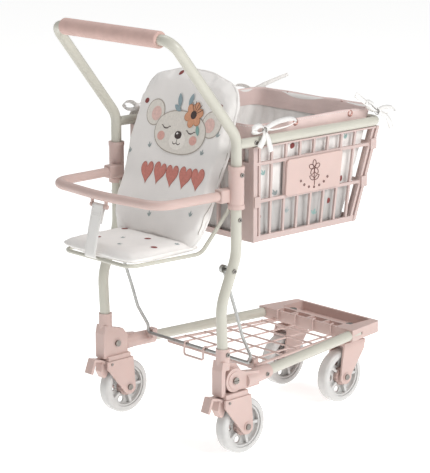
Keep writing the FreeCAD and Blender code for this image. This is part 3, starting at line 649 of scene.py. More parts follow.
# ---------------------------------------------------------------- printed patterns
class Print:
    """Flat printed shapes laid on fabric. cast finds the fabric's surface for flat coordinates in mm."""

    def __init__(self, cast):
        self.cast = cast
        self.points, self.faces, self.inks, self.palette = [], [], [], []

    def place(self, u, v, layer):
        spot, normal = self.cast(u, v)
        return spot + normal * (0.35 + 0.16 * layer) * MM

    def index(self, material):
        if material not in self.palette:
            self.palette.append(material)
        return self.palette.index(material)

    def patch(self, outline, material, layer=0, grain=5.0):
        """Fills an outline with rings, so that it follows the fabric."""
        cu = sum(p[0] for p in outline) / len(outline)
        cv = sum(p[1] for p in outline) / len(outline)
        reach = max(math.hypot(u - cu, v - cv) for u, v in outline)
        rings = max(1, round(reach / grain))
        start, count, slot = len(self.points), len(outline), self.index(material)
        self.points.append(self.place(cu, cv, layer))
        for ring in range(1, rings + 1):
            f = ring / rings
            for u, v in outline:
                self.points.append(self.place(cu + (u - cu) * f, cv + (v - cv) * f, layer))
        for i in range(count):
            j = (i + 1) % count
            self.faces.append((start, start + 1 + i, start + 1 + j))
            self.inks.append(slot)
            for ring in range(rings - 1):
                a, b = start + 1 + ring * count, start + 1 + (ring + 1) * count
                self.faces.append((a + i, b + i, b + j, a + j))
                self.inks.append(slot)

    def stroke(self, line, width, material, layer=0):
        """A drawn line of a given width, thinner at its ends."""
        base, count, slot = len(self.points), len(line), self.index(material)
        for i, (u, v) in enumerate(line):
            a, b = line[max(i - 1, 0)], line[min(i + 1, count - 1)]
            length = math.hypot(b[0] - a[0], b[1] - a[1]) or 1.0
            half = width / 2 * (0.35 + 0.65 * math.sin(math.pi * (i + 0.6) / (count + 0.2)))
            du, dv = -(b[1] - a[1]) / length * half, (b[0] - a[0]) / length * half
            self.points.append(self.place(u - du, v - dv, layer))
            self.points.append(self.place(u + du, v + dv, layer))
        for i in range(count - 1):
            a = base + 2 * i
            self.faces.append((a, a + 1, a + 3, a + 2))
            self.inks.append(slot)

    def piece(self, name, slot="fabric_print"):
        mesh = bpy.data.meshes.new(name)
        mesh.from_pydata([tuple(p) for p in self.points], [], self.faces)
        for material in self.palette:
            mesh.materials.append(material)
        for polygon, choice in zip(mesh.polygons, self.inks):
            polygon.material_index = choice
            polygon.use_smooth = True
        made = bpy.data.objects.new(name, mesh)
        bpy.context.scene.collection.objects.link(made)
        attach(made, "frame")
        return made


def turned(u, v, x, y, turn):
    """A point at (x, y) from (u, v), once turned about it."""
    return (u + x * math.cos(turn) - y * math.sin(turn), v + x * math.sin(turn) + y * math.cos(turn))


def oval(u, v, ru, rv, turn=0.0, count=36, square=1.0):
    """An oval outline; square below 1 fills out its corners."""
    outline = []
    for i in range(count):
        a = 2 * math.pi * i / count
        x = ru * math.copysign(abs(math.cos(a)) ** square, math.cos(a))
        y = rv * math.copysign(abs(math.sin(a)) ** square, math.sin(a))
        outline.append(turned(u, v, x, y, turn))
    return outline


def heart(u, v, width, height, turn=0.0, count=40):
    outline = []
    for i in range(count):
        a = 2 * math.pi * i / count
        x = math.sin(a) ** 3 * width / 2
        rise = 13 * math.cos(a) - 5 * math.cos(2 * a) - 2 * math.cos(3 * a) - math.cos(4 * a)
        y = rise / 29 * height + 0.07 * height
        outline.append(turned(u, v, x, y, turn))
    return outline


def leaf(u, v, length, width, turn, count=16):
    """A pointed leaf that grows from (u, v) in a direction."""
    outline = []
    for i in range(count):
        t = i / count
        along = length * (2 * t if t < 0.5 else 2 - 2 * t)
        out = width / 2 * math.sin(math.pi * along / length) ** 0.8 * (1 if t < 0.5 else -1)
        outline.append(turned(u, v, along, out, turn))
    return outline


def arc(u, v, radius, start, end, flat=1.0, count=12):
    angles = [math.radians(start + (end - start) * i / (count - 1)) for i in range(count)]
    return [(u + radius * math.cos(a), v + radius * flat * math.sin(a)) for a in angles]


def print_dot(sheet, u, v, size=4.6):
    sheet.patch(oval(u, v, size, size * 0.86, 0.4, 14), ink("berry", "#8E4A48"), 0)


def print_sprig(sheet, u, v, lean=0.0, size=9.0, colour=None):
    """Three small leaves that fan from one stem."""
    colour = colour or ink("slate", "#A3AEAE")
    for spread, share in ((-0.55, 0.8), (0.05, 1.0), (0.62, 0.75)):
        sheet.patch(leaf(u, v, size * share, size * 0.26, math.pi / 2 + lean + spread), colour, 0)


# ---------------------------------------------------------------- the seat
SEAT_LEAN = 0.36            # forward lean of the seat back, X for each Z
SEAT_FOOT = 389.0           # height at which its middle plane is over the hinge, in mm
BACK_OUTLINE = (            # height and half width of the seat back's cover, in mm
    (301, 84), (309, 90), (318, 98), (328, 104), (340, 109), (356, 112), (380, 113.5),
    (410, 115), (432, 118), (448, 119.5), (462, 117.5), (476, 116), (492, 115), (512, 113.5),
    (528, 109), (540, 101), (550, 88), (558, 71), (564, 48), (567, 24),
)
BACK_MIDDLE = (0, 445)      # the cover's middle across and in height
BACK_HALF = 6.2             # half of its thickness before it is stuffed
BACK_SEAM = ((104, 508), (105, 480), (107, 450), (103, 420), (101, 385), (97, 350), (93, 332))
PAN_OUTLINE = ((-13, -88), (-60, -87.5), (-128, -85), (-145, -76), (-150.5, -45), (-151, 0))
PAN_MIDDLE = (-85, 0)       # the seat's middle, forward of the hinge and across
PAN_HEIGHT = 310.5
PAN_HALF = 5.4
PAN_UNDERSIDE = 304.8       # the cover lies flat on its board from here down


def seat_plane(y, z, out=0.0):
    """A point in the seat back's middle plane, or out from it towards the sitter."""
    scale = 1 / math.hypot(1, SEAT_LEAN)
    return at(SEAT_LEAN * (z - SEAT_FOOT) - out * scale, y, z + out * SEAT_LEAN * scale)


def seat_normal():
    return Vector((-1, 0, SEAT_LEAN)).normalized()


def back_edge(inset):
    """The cover's edge as (y, z), in from the outline by so many mm."""
    right = [Vector((-w + inset, z)) for z, w in BACK_OUTLINE]
    right = [Vector((min(p.x, -2.0), p.y - (inset if p.y > 555 else 0))) for p in right]
    edge = [Vector((p.x, p.y + (inset if i == 0 else 0), 0)) for i, p in enumerate(right)]
    edge += [Vector((-p.x, p.y, 0)) for p in reversed(edge)]
    line = smooth_line(edge, 4)
    line += [line[-1].lerp(line[0], k / 14) for k in range(1, 14)]
    return [(p.x, p.y) for p in line]


def crowned_pad(edge, centre, place, half, rings=12):
    """Closed pad from an edge line: it domes on both faces and thins to its seam."""
    count = len(edge)
    points, faces = [], []
    for face in (1, -1):
        start = len(points)
        points.append(place(centre[0], centre[1], face * half))
        for ring in range(1, rings + 1):
            f = ring / rings
            dome = half * (0.42 + 0.58 * (1 - f ** 3.2) ** 0.5)
            for u, v in edge:
                along, across = centre[0] + (u - centre[0]) * f, centre[1] + (v - centre[1]) * f
                points.append(place(along, across, face * dome))
        for i in range(count):
            j = (i + 1) % count
            faces.append((start, start + 1 + i, start + 1 + j))
            for ring in range(rings - 1):
                a, b = start + 1 + ring * count, start + 1 + (ring + 1) * count
                faces.append((a + i, b + i, b + j, a + j))
    low, high = 1 + (rings - 1) * count, 2 + (2 * rings - 1) * count
    for i in range(count):
        j = (i + 1) % count
        faces.append((low + i, high + i, high + j, low + j))
    return points, faces


def edge_seam(tree, line, middle):
    """Where a pad's edge is along its seam line, evened out along its length."""
    laid = []
    for place in line:
        hit = tree.ray_cast(place + (place - middle).normalized() * 30 * MM, (middle - place).normalized())[0]
        laid.append(hit or place)
    count = len(laid)
    for _ in range(6):
        laid = [(laid[i - 1] + laid[i] * 2 + laid[(i + 1) % count]) / 4 for i in range(count)]
    return laid


class TROLLEY_OT_seat_back(bpy.types.Operator):
    """Makes the padded seat back with its piping and sewn side seams"""

    bl_idname = "trolley.seat_back"
    bl_label = "Seat Back"

    def execute(self, context):
        sewing = context.scene.trolley_sewing
        cloth = dressed("cover_back")
        edge = back_edge(3.0)
        points, faces = crowned_pad(edge, BACK_MIDDLE, seat_plane, BACK_HALF)
        pad = mesh_piece("seat_back_cover", points, faces, cloth)
        stuffed(pad, sewing.back_plump)
        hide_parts("seat_back_pad")
        tree = surface_of(pad)
        rim = edge_seam(tree, [seat_plane(y, z) for y, z in back_edge(1.0)], seat_plane(*BACK_MIDDLE))
        curve_piece("seat_back_piping", [rim], sewing.piping, cloth, closed=True)
        seams = []
        for side in (-1, 1):
            line = smooth_line([seat_plane(side * y, z, 30) for y, z in BACK_SEAM], 8)
            for face in (1, -1):
                laid = []
                for place in line:
                    start = place if face == 1 else place - seat_normal() * 60 * MM
                    hit, _, _, _ = tree.ray_cast(start, -seat_normal() * face)
                    if hit:
                        laid.append(hit + seat_normal() * face * 0.15 * MM)
                seams.append(laid)
        shadow = ink("seam shadow", "#BDB7B0")
        curve_piece("seat_back_seams", seams, 0.7 * MM, shadow, sides=2)
        rows = []
        for line in seams:
            inner = [p + Vector((0, -math.copysign(3.4 * MM, p.y), 0)) for p in line]
            rows += stitches(inner, sewing.stitch, 1.8 * MM)
        curve_piece("seat_back_stitches", rows, 0.35 * MM, dressed("ribbon"), sides=1)
        return {"FINISHED"}


class TROLLEY_OT_seat_pad(bpy.types.Operator):
    """Makes the padded seat with its piping"""

    bl_idname = "trolley.seat_pad"
    bl_label = "Seat Pad"

    def execute(self, context):
        sewing = context.scene.trolley_sewing
        cloth = dressed("cover_pan")
        edge = [Vector((x, y, 0)) for x, y in PAN_OUTLINE]
        edge += [Vector((x, -y, 0)) for x, y in reversed(PAN_OUTLINE[:-1])]
        line = smooth_line(edge, 7)
        line += [line[-1].lerp(line[0], k / 16) for k in range(1, 16)]
        flat = [(p.x, p.y) for p in line]
        points, faces = crowned_pad(
            flat, PAN_MIDDLE, lambda x, y, up: at(x, y, PAN_HEIGHT + max(up, -3.6)), PAN_HALF,
        )
        pad = mesh_piece("seat_cushion", points, faces, cloth)
        stuffed(pad, sewing.pan_plump)
        for vertex in pad.data.vertices:
            vertex.co.z = max(vertex.co.z, PAN_UNDERSIDE * MM)
        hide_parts("seat_pan_pad")
        tree = surface_of(pad)
        seam_height = PAN_HEIGHT + 1
        rim = edge_seam(tree, [at(x, y, seam_height) for x, y in flat], at(*PAN_MIDDLE, seam_height))
        curve_piece("seat_cushion_piping", [rim], sewing.piping, cloth, closed=True)
        return {"FINISHED"}


class TROLLEY_OT_seat_print(bpy.types.Operator):
    """Prints the sleepy bear, its flower, the hearts and the scattered marks on the seat"""

    bl_idname = "trolley.seat_print"
    bl_label = "Seat Print"

    def execute(self, context):
        back = surface_of(bpy.data.objects["seat_back_cover"])

        def on_back(u, z):
            hit, _, _, _ = back.ray_cast(seat_plane(-u, z, 60), -seat_normal())
            return (hit, seat_normal()) if hit else (seat_plane(-u, z, 6), seat_normal())

        art = Print(on_back)
        fur, fur_edge = ink("warm grey", "#E2DDD5", 0.93), ink("taupe edge", "#B3AAA0")
        blush, dark = ink("blush", "#E0AFA5"), ink("cocoa", "#4A3F3D")
        for u, v in ((-53, 487), (71, 483)):
            art.patch(oval(u, v, 20, 19.5), fur_edge, 0)
            art.patch(oval(u, v, 18.6, 18), fur, 1)
            art.patch(oval(u + (3 if u < 0 else -3), v - 1.5, 10.5, 10.5), ink("ear pink", "#E6C4BC"), 2)
        art.patch(oval(10, 464.5, 55.5, 31.5, 0, 48, 0.9), fur_edge, 3)
        art.patch(oval(10, 464.5, 54, 30, 0, 48, 0.9), fur, 4)
        art.patch(oval(9, 452.5, 17, 13), ink("muzzle", "#EEE9E2", 0.95), 5)
        for u, v in ((-28, 455.5), (42, 456.5)):
            art.patch(oval(u, v, 8, 6.6), blush, 5)
        for u, v in ((-21.6, 470.5), (33, 468.5)):
            art.stroke(arc(u, v + 3, 8, 205, 335, 0.8), 1.7, dark, 6)
            for k in (-1, 1):
                art.stroke(
                    [(u + k * 6.6, v + 0.2), (u + k * 8.4, v - 0.2), (u + k * 10.2, v + 0.4)], 1.1, dark, 6,
                )
        art.patch(oval(8.5, 460.5, 7.4, 5.6, 0, 28, 0.85), dark, 6)
        art.patch(oval(6.2, 462.5, 2.2, 1.3, 0.3, 14), ink("white", "#F6F4F1"), 7)
        art.stroke([(8.5, 455.5), (8.5, 450.5)], 1.3, dark, 6)
        for k in (-1, 1):
            art.stroke(arc(8.5 + 4.2 * k, 450.5, 4.2, 180, 360, 0.8), 1.3, dark, 6)
        self.flower(art)
        terracotta, rust = ink("terracotta", "#D0877C", 0.85), ink("rust edge", "#B4695E", 0.88)
        for k, (u, v) in enumerate(((-39.5, 400.5), (-12.5, 402.5), (15.5, 402), (43.5, 403), (70.5, 404.5))):
            turn = (0.12, -0.1, 0.06, -0.08, 0.1)[k]
            art.patch(heart(u, v, 27, 33, turn), rust, 0)
            art.patch(heart(u, v + 0.3, 25, 30.5, turn), terracotta, 1)
        for u, v in ((-26, 549), (-79, 501), (80, 509.5)):
            print_dot(art, u, v)
        for u, v, lean in (
            (-47, 436, 0.3), (65, 439, -0.3), (-11, 340.5, 0.2),
            (74, 353, -0.1), (-89, 423, 0.1), (88, 467.5, -0.2),
        ):
            print_sprig(art, u, v, lean)
        art.piece("seat_back_print")

        pan = surface_of(bpy.data.objects["seat_cushion"])

        def on_pan(u, x):
            hit, _, _, _ = pan.ray_cast(at(x, -u, 400), Vector((0, 0, -1)))
            return (hit, Vector((0, 0, 1))) if hit else (at(x, -u, 317), Vector((0, 0, 1)))

        scatter = Print(on_pan)
        for u, v in ((-54.6, -41), (64.5, -87), (-39.5, -106), (20, -60)):
            print_dot(scatter, u, v, 5.2)
        for u, v, lean in ((-8.4, -84, 0.8), (14.6, -115, -0.6), (70, -50, 0.2), (-78, -80, -0.2)):
            print_sprig(scatter, u, v, lean)
        scatter.piece("seat_cushion_print")
        return {"FINISHED"}

    def flower(self, art):
        """A plain five-petal flower with a few leaves."""
        mist, sea = ink("mist blue", "#93A7AE"), ink("sea green", "#8DB3AC")
        for u, v, length, turn in (
            (-2, 499.5, 21, 1.9), (16, 503.5, 19, 1.35), (43, 479, 17, -1.1), (2, 494, 18, 2.7),
        ):
            art.patch(leaf(u, v, length, length * 0.42, turn), mist if turn > 0 else sea, 8)
        petal, petal_edge = ink("apricot", "#D9A07F"), ink("apricot edge", "#C08863")
        for k in range(6):
            a = 2 * math.pi * k / 6 + 0.3
            u, v = 31.5 + 11 * math.cos(a), 492 + 10.5 * math.sin(a)
            art.patch(oval(u, v, 8.6, 7.0, a, 20), petal_edge, 9 + k % 2 * 0.5)
            art.patch(oval(u, v, 7.6, 6.0, a, 20), petal, 9.6 + k % 2 * 0.5)
        art.patch(oval(31.5, 492, 6.2, 6.0, 0, 20), ink("cocoa", "#4A3F3D"), 11)
        for k in range(5):
            a = 0.5 + 0.38 * k
            vein = [(31.5 + r * math.cos(a), 492 + r * math.sin(a)) for r in (6, 11, 16, 20)]
            art.stroke(vein, 1.0, ink("cocoa", "#4A3F3D"), 11)


# ---------------------------------------------------------------- the basket's lining
BAG_REAR = 51.5             # the lining's rear wall
BAG_HALF = 124.2
BAG_FLOOR = 322.6
BAND_LOW = 464.0
BAND_TOP = 491.5


def bag_front(z):
    return 248.6 + (303.0 - 250.0) / (468.0 - 322.0) * (z - 322.0)


def bag_ring(z, out, count, corner=13.0):
    """One loop of the lining at a height: points and their outward directions."""
    x0, x1, half = BAG_REAR, bag_front(z), BAG_HALF
    c = corner
    runs = [
        ((x0 + c, -half), (x1 - c, -half)), ((x1, -half + c), (x1, half - c)),
        ((x1 - c, half), (x0 + c, half)), ((x0, half - c), (x0, -half + c)),
    ]
    centres = [(x1 - c, -half + c), (x1 - c, half - c), (x0 + c, half - c), (x0 + c, -half + c)]
    lengths = []
    for (a, b), _ in zip(runs, centres):
        lengths += [math.dist(a, b), math.pi / 2 * c]
    total = sum(lengths)
    ring = []
    for i in range(count):
        d = total * i / count
        k = 0
        while d > lengths[k]:
            d -= lengths[k]
            k += 1
        side = k // 2
        if k % 2 == 0:
            (ax, ay), (bx, by) = runs[side]
            t = d / lengths[k]
            normal = Vector(((by - ay), -(bx - ax), 0)).normalized()
            place = (ax + (bx - ax) * t, ay + (by - ay) * t)
        else:
            angle = -math.pi / 2 + side * math.pi / 2 + d / c
            normal = Vector((math.cos(angle), math.sin(angle), 0))
            place = (centres[side][0] + c * normal.x, centres[side][1] + c * normal.y)
        ring.append((at(place[0], place[1], z) + normal * out(i / count, z) * MM, normal))
    return ring


PLEATS = 43                 # small folds round the lining


class TROLLEY_OT_lining(bpy.types.Operator):
    """Makes the printed lining of the basket, its pink hem band, stitching and eyelets"""

    bl_idname = "trolley.lining"
    bl_label = "Basket Lining"

    def execute(self, context):
        sewing = context.scene.trolley_sewing
        wave = sewing.lining_wave / MM
        seed = sewing.seed

        def folds(share, z):
            height = (z - BAG_FLOOR) / (BAND_LOW - BAG_FLOOR)
            calm = math.sin(math.pi * min(max(height, 0.0), 1.0)) ** 0.6
            a = 2 * math.pi * share
            spot = Vector((3.2 * math.cos(a), 3.2 * math.sin(a), 1.1 * height + seed))
            pleat = math.sin(PLEATS * a + 1.5 * height + 5 * noise.noise(spot))
            ripple = noise.noise(spot * 1.4) + 1.15 * pleat * abs(noise.noise(spot * 2.3)) ** 0.5
            return min(6.0, 1.0 + calm * wave * ripple)

        count, rows = 300, 26
        points, faces = [], ring_faces(rows, count)
        for r in range(rows):
            z = BAG_FLOOR + (BAND_TOP - 2 - BAG_FLOOR) * r / (rows - 1)
            points += [p for p, _ in bag_ring(z, folds, count)]
        middle = at((BAG_REAR + bag_front(BAG_FLOOR)) / 2, 0, BAG_FLOOR)
        previous = 0
        for ring in range(1, 8):
            start = len(points)
            f = 1 - ring / 8
            for i in range(count):
                flat = middle + (points[i] - middle) * f
                flat.z += (0.5 + 0.9 * noise.noise(flat * 30)) * MM * (1 - f)
                points.append(flat)
            for i in range(count):
                j = (i + 1) % count
                faces.append((previous + i, start + i, start + j, previous + j))
            previous = start
        points.append(middle + Vector((0, 0, 0.5 * MM)))
        for i in range(count):
            faces.append((previous + i, len(points) - 1, previous + (i + 1) % count))
        bag = mesh_piece("basket_lining", points, faces, dressed("lining"))
        thicken(bag, 1.0 * MM)
        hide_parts("basket_liner")

        band = self.band(seed)
        hem = [p + n * 0.4 * MM for p, n in bag_ring(BAND_LOW + 2.4, lambda s, z: 2.0, 320)]
        seams = stitches(hem + hem[:1], sewing.stitch, 1.8 * MM)
        upper = self.band_line(BAND_TOP - 3.2, seed, 320, 0.35)
        seams += stitches(upper + upper[:1], sewing.stitch, 1.8 * MM)
        thread = curve_piece("lining_stitches", seams, 0.4 * MM, dressed("ribbon"), sides=1)
        self.eyelets()
        self.marks()
        return {"FINISHED"}

    def band_out(self, seed):
        def out(share, z):
            rise = (z - BAND_LOW) / (BAND_TOP - BAND_LOW)
            a = 2 * math.pi * share
            sway = noise.noise(Vector((2.6 * math.cos(a), 2.6 * math.sin(a), seed + 9.0)))
            return 1.9 + max(0.0, rise - 0.45) * (1.6 + 6.0 * sway)
        return out

    def band_line(self, z, seed, count, lift):
        out = self.band_out(seed)
        line = []
        for k, (p, n) in enumerate(bag_ring(z, out, count)):
            a = 2 * math.pi * k / count
            dip = noise.noise(Vector((3.4 * math.cos(a), 3.4 * math.sin(a), seed + 4.0))) * 1.4 * MM
            rise = (z - BAND_LOW) / (BAND_TOP - BAND_LOW)
            line.append(p + n * lift * MM + Vector((0, 0, dip * rise)))
        return line

    def band(self, seed):
        """The hem band: a folded strip, over the lining's edge."""
        count, rows = 240, 8
        outer = [
            self.band_line(BAND_LOW + (BAND_TOP - BAND_LOW) * r / (rows - 1), seed, count, 0.0)
            for r in range(rows)
        ]
        centre = at((BAG_REAR + bag_front(480)) / 2, 0, 0)
        points = [p for line in outer for p in line]
        for line in reversed(outer):
            for p in line:
                inward = (centre - p) * Vector((1, 1, 0))
                shift = Vector((0, 0, 1.0 * MM)) if line is outer[-1] else Vector((0, 0, 0))
                points.append(p + inward.normalized() * 2.6 * MM - shift)
        return mesh_piece("lining_band", points, ring_faces(2 * rows, count), dressed("band"))

    def eyelets(self):
        points, faces = [], []
        tree = surface_of(bpy.data.objects["lining_band"])
        spots = [(x, side, 485.0) for side in (-1, 1) for x in (140, 257)]
        for x, side, z in spots:
            hit, _, _, _ = tree.ray_cast(at(x, side * 180, z), Vector((0, -side, 0)))
            self.ring(points, faces, hit, Vector((0, side, 0)))
        for y in (-60, 60):
            hit, _, _, _ = tree.ray_cast(at(360, y, 485), Vector((-1, 0, 0)))
            self.ring(points, faces, hit, Vector((1, 0, 0)))
        mesh_piece("band_eyelets", points, faces, dressed("eyelet"))

    def ring(self, points, faces, centre, normal, radius=4.2 * MM, tube=1.25 * MM):
        """One pressed ring: a round roll of metal with a hollow middle."""
        side = normal.cross(Vector((0, 0, 1)))
        base, around, across = len(points), 20, 8
        for i in range(around):
            a = 2 * math.pi * i / around
            out = side * math.cos(a) + Vector((0, 0, 1)) * math.sin(a)
            for j in range(across):
                b = 2 * math.pi * j / across
                lift = normal * tube * 0.8 * (0.2 + math.sin(b))
                points.append(centre + out * (radius + tube * math.cos(b)) + lift)
        for i in range(around):
            for j in range(across):
                a, b = base + i * across, base + (i + 1) % around * across
                faces.append((a + j, b + j, b + (j + 1) % across, a + (j + 1) % across))

    def marks(self):
        """Scatters the print's dots and sprigs on the outside of the lining."""
        tree = surface_of(bpy.data.objects["basket_lining"])
        teal = ink("teal", "#9DBDB9")

        def caster(direction, spot_of):
            def cast(u, z):
                hit, _, _, _ = tree.ray_cast(spot_of(u, z), direction)
                return (hit, -direction)
            return cast

        walls = [
            ("near", caster(Vector((0, 1, 0)), lambda u, z: at(u, -180, z)),
             [(133.7, 450), (212.8, 355), (239.6, 386), (64, 352)],
             [(76.5, 413, teal), (181, 338, teal), (251, 446, teal), (121, 350, None),
              (100, 380, None), (160, 420, None), (205, 400, teal)]),
            ("far", caster(Vector((0, -1, 0)), lambda u, z: at(u, 180, z)),
             [(90, 430), (160, 360), (230, 440), (70, 350)],
             [(120, 400, teal), (200, 420, None), (180, 340, teal), (245, 380, None)]),
            ("front", caster(Vector((-1, 0, 0)), lambda u, z: at(380, u, z)),
             [(-80, 430), (20, 380), (85, 440), (-30, 350)],
             [(-50, 390, teal), (50, 420, teal), (90, 360, None), (-100, 360, None)]),
            ("rear", caster(Vector((1, 0, 0)), lambda u, z: at(0, u, z)),
             [(-80, 370), (10, 430), (80, 400)],
             [(-40, 420, teal), (50, 360, teal), (-100, 440, None)]),
        ]
        for name, cast, dots, sprigs in walls:
            art = Print(cast)
            for u, z in dots:
                print_dot(art, u, z, 5.0)
            for k, (u, z, colour) in enumerate(sprigs):
                print_sprig(art, u, z, 0.35 * (-1) ** k, 10.0, colour)
            art.piece("lining_print_" + name)


# ---------------------------------------------------------------- ribbons, strap and plate
class TROLLEY_OT_ribbons(bpy.types.Operator):
    """Ties the four ribbon bows that hold the lining to the rim"""

    bl_idname = "trolley.ribbons"
    bl_label = "Ribbon Bows"

    def execute(self, context):
        width = context.scene.trolley_sewing.ribbon_width
        # Each bow: its knot, the tips of its loops with their half openings, and the ends of its tails.
        bows = {
            "rear_right": ((62, -138.5, 485), [((38, -143, 487), 7), ((126, -141, 491), 7)],
                           [[(64, -145, 474), (70, -146.5, 452)], [(56, -146, 474), (46, -146, 461)]]),
            "front_right": ((305, -137, 484), [((352, -133, 480), 6), ((280, -142, 500), 6)],
                            [[(322, -144, 474), (331, -146, 456)], [(276, -140, 502), (256, -139, 515)]]),
            "rear_left": ((60, 138.5, 485), [((36, 143, 489), 7), ((104, 142, 492), 7)],
                          [[(64, 145, 474), (72, 146.5, 455)], [(54, 146, 474), (46, 146, 462)]]),
            "front_left": ((306, 136, 484), [((338, 142, 482), 6), ((270, 142, 492), 6)],
                           [[(320, 145, 474), (326, 146.5, 458)], [(330, 124, 496), (358, 106, 509)]]),
        }
        for name, (knot, loops, tails) in bows.items():
            self.bow(name, at(*knot), loops, tails, width)
        return {"FINISHED"}

    def bow(self, name, knot, loops, tails, width):
        side = -1 if knot.y < 0 else 1
        out = Vector((0, side, 0))
        points, faces = [], []
        length = 0.0
        for tip, opening in loops:
            tip = at(*tip)
            way = tip - knot
            rise = Vector((0, 0, 1)) * opening * MM
            line = [
                knot + out * 1.5 * MM,
                knot + way * 0.35 + rise * 0.9 + out * 3 * MM,
                knot + way * 0.8 + rise * 0.8 + out * 2 * MM,
                tip,
                knot + way * 0.78 - rise * 0.7,
                knot + way * 0.3 - rise * 0.6 + out * 1 * MM,
                knot + out * 1.0 * MM,
            ]
            line = smooth_line(line, 6)
            hints = []
            for k in range(len(line)):
                t = k / (len(line) - 1)
                face_up = 0.8 if t < 0.5 else -0.8
                hints.append(Vector((0.25 * math.sin(5 * t), side * (0.75 - 0.35 * t), face_up)))
            strip(line, hints, width, points, faces, lambda t: 0.55 + 0.45 * math.sin(math.pi * t) ** 0.5)
            length += length_of(line)
        for tail in tails:
            line = smooth_line([knot + out * 1.2 * MM] + [at(*p) for p in tail], 7)
            hints = [Vector((0.35 * math.sin(4 * k / len(line) + 1), side, 0.25)) for k in range(len(line))]
            strip(line, hints, width, points, faces, lambda t: 0.6 + 0.4 * min(1.0, 3 * t))
            length += length_of(line)
        wrap = []
        for k in range(13):
            a = 2 * math.pi * k / 12
            loop = Vector((4.4 * MM * math.cos(a) * 0.6, 0, 5.4 * MM * math.sin(a)))
            wrap.append(knot + loop + out * (2.6 + 3.0 * math.cos(a)) * MM)
        hints = [(p - knot - out * 2.6 * MM).normalized() for p in wrap]
        strip(wrap, hints, width * 0.85, points, faces)
        length += length_of(wrap)
        piece = mesh_piece("ribbon_bow_" + name, points, faces, dressed("ribbon"))
        thicken(piece, 0.45 * MM)
        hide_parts("liner_ties")
        max(width, 10 * MM)


class TROLLEY_OT_strap(bpy.types.Operator):
    """Makes the webbing strap between the bumper bar and the seat"""

    bl_idname = "trolley.strap"
    bl_label = "Crotch Strap"

    def execute(self, context):
        low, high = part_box("crotch_strap")
        bar = Vector(((-135.4 + ORIGIN_X) * MM, 0, 379 * MM))
        radius = 3.1 * MM
        line = []
        for k in range(9):
            a = math.radians(-60 + 240 * k / 8)
            line.append(bar + Vector((math.cos(a), 0, math.sin(a))) * radius)
        down = [(-140.2, 372), (-145.6, 350), (-150.6, 328), (-154.2, 312), (-153.6, 305.6), (-150, 303.6)]
        line += smooth_line([Vector(((x + ORIGIN_X) * MM, 0, z * MM)) for x, z in down], 5)
        tongue = ((-7.6, -22), (-4.6, -12), (-2.2, -4))
        line = [line[0] + Vector((x * MM, 0, z * MM)) for x, z in tongue] + line
        width = high.y - low.y
        points, faces = [], []
        columns = 7
        for i, p in enumerate(line):
            for k in range(columns):
                t = k / (columns - 1) - 0.5
                points.append(p + Vector((0.5 * MM * (4 * t * t), width * t, 0)))
        for i in range(len(line) - 1):
            for k in range(columns - 1):
                a = i * columns + k
                faces.append((a, a + 1, a + columns + 1, a + columns))
        strap = mesh_piece("crotch_webbing", points, faces, dressed("webbing"))
        thicken(strap, 1.1 * MM)
        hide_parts("crotch_strap")
        length = length_of(line)
        rows = []
        for side in (-1, 1):
            edge = [p + Vector((-1.0 * MM, side * (width / 2 - 2.6 * MM), 0)) for p in line[-28:-4]]
            rows += stitches(edge, 3 * MM, 1.8 * MM)
        for x, z in ((-141.9, 366), (-141.2, 369)):
            x = (x + ORIGIN_X - 0.9) * MM
            reach = width / 2 - 2 * MM
            rows += stitches([Vector((x, -reach, z * MM)), Vector((x, reach, z * MM))], 3 * MM, 1.6 * MM)
        thread = curve_piece("crotch_stitches", rows, 0.35 * MM, dressed("ribbon"), sides=1)
        return {"FINISHED"}


class TROLLEY_OT_plate(bpy.types.Operator):
    """Draws a plain sprig on the basket's plate"""

    bl_idname = "trolley.plate"
    bl_label = "Plate Motif"

    def execute(self, context):
        low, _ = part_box("name_plate")
        face = low.y - 0.25 * MM
        ink_line = ink("plate brown", "#6B4A45")

        def on_plate(points):
            return [Vector(((x + ORIGIN_X) * MM, face, z * MM)) for x, z in points]

        lines = []
        for k in range(5):
            a = 2 * math.pi * k / 5 + math.pi / 2
            cx, cz = 168 + 6.4 * math.cos(a), 414.5 + 6.4 * math.sin(a)
            petal = oval(cx, cz, 5.4, 3.4, a, 22)
            lines.append(on_plate(petal + petal[:1]))
        lines.append(on_plate([(168, 407), (167.4, 401), (168.4, 394), (168, 388)]))
        for side in (-1, 1):
            tip = leaf(168, 396, 12, 5.4, math.pi / 2 - side * 1.0, 18)
            lines.append(on_plate(tip + tip[:1]))
        for k in range(7):
            a = math.radians(212 + 19 * k)
            u, v = 168 + 34 * math.cos(a), 412 + 27 * math.sin(a)
            lines.append(on_plate(arc(u, v, 1.5, 0, 360, 1, 10)))
        curve_piece("plate_sprig", lines, 0.55 * MM, ink_line, sides=2)
        heart_ring = on_plate(arc(168, 414.5, 1.6, 0, 360, 1, 14))
        curve_piece("plate_flower_heart", [heart_ring], 0.6 * MM, ink_line, sides=2)
        return {"FINISHED"}


# ---------------------------------------------------------------- carried-over parts
class TROLLEY_OT_tubes(bpy.types.Operator):
    """Gives the steel tubes and their fasteners their finish"""

    bl_idname = "trolley.tubes"
    bl_label = "Tubes and Fasteners"

    def execute(self, context):
        finish_nodes("frame_paint", "chrome")
        return {"FINISHED"}


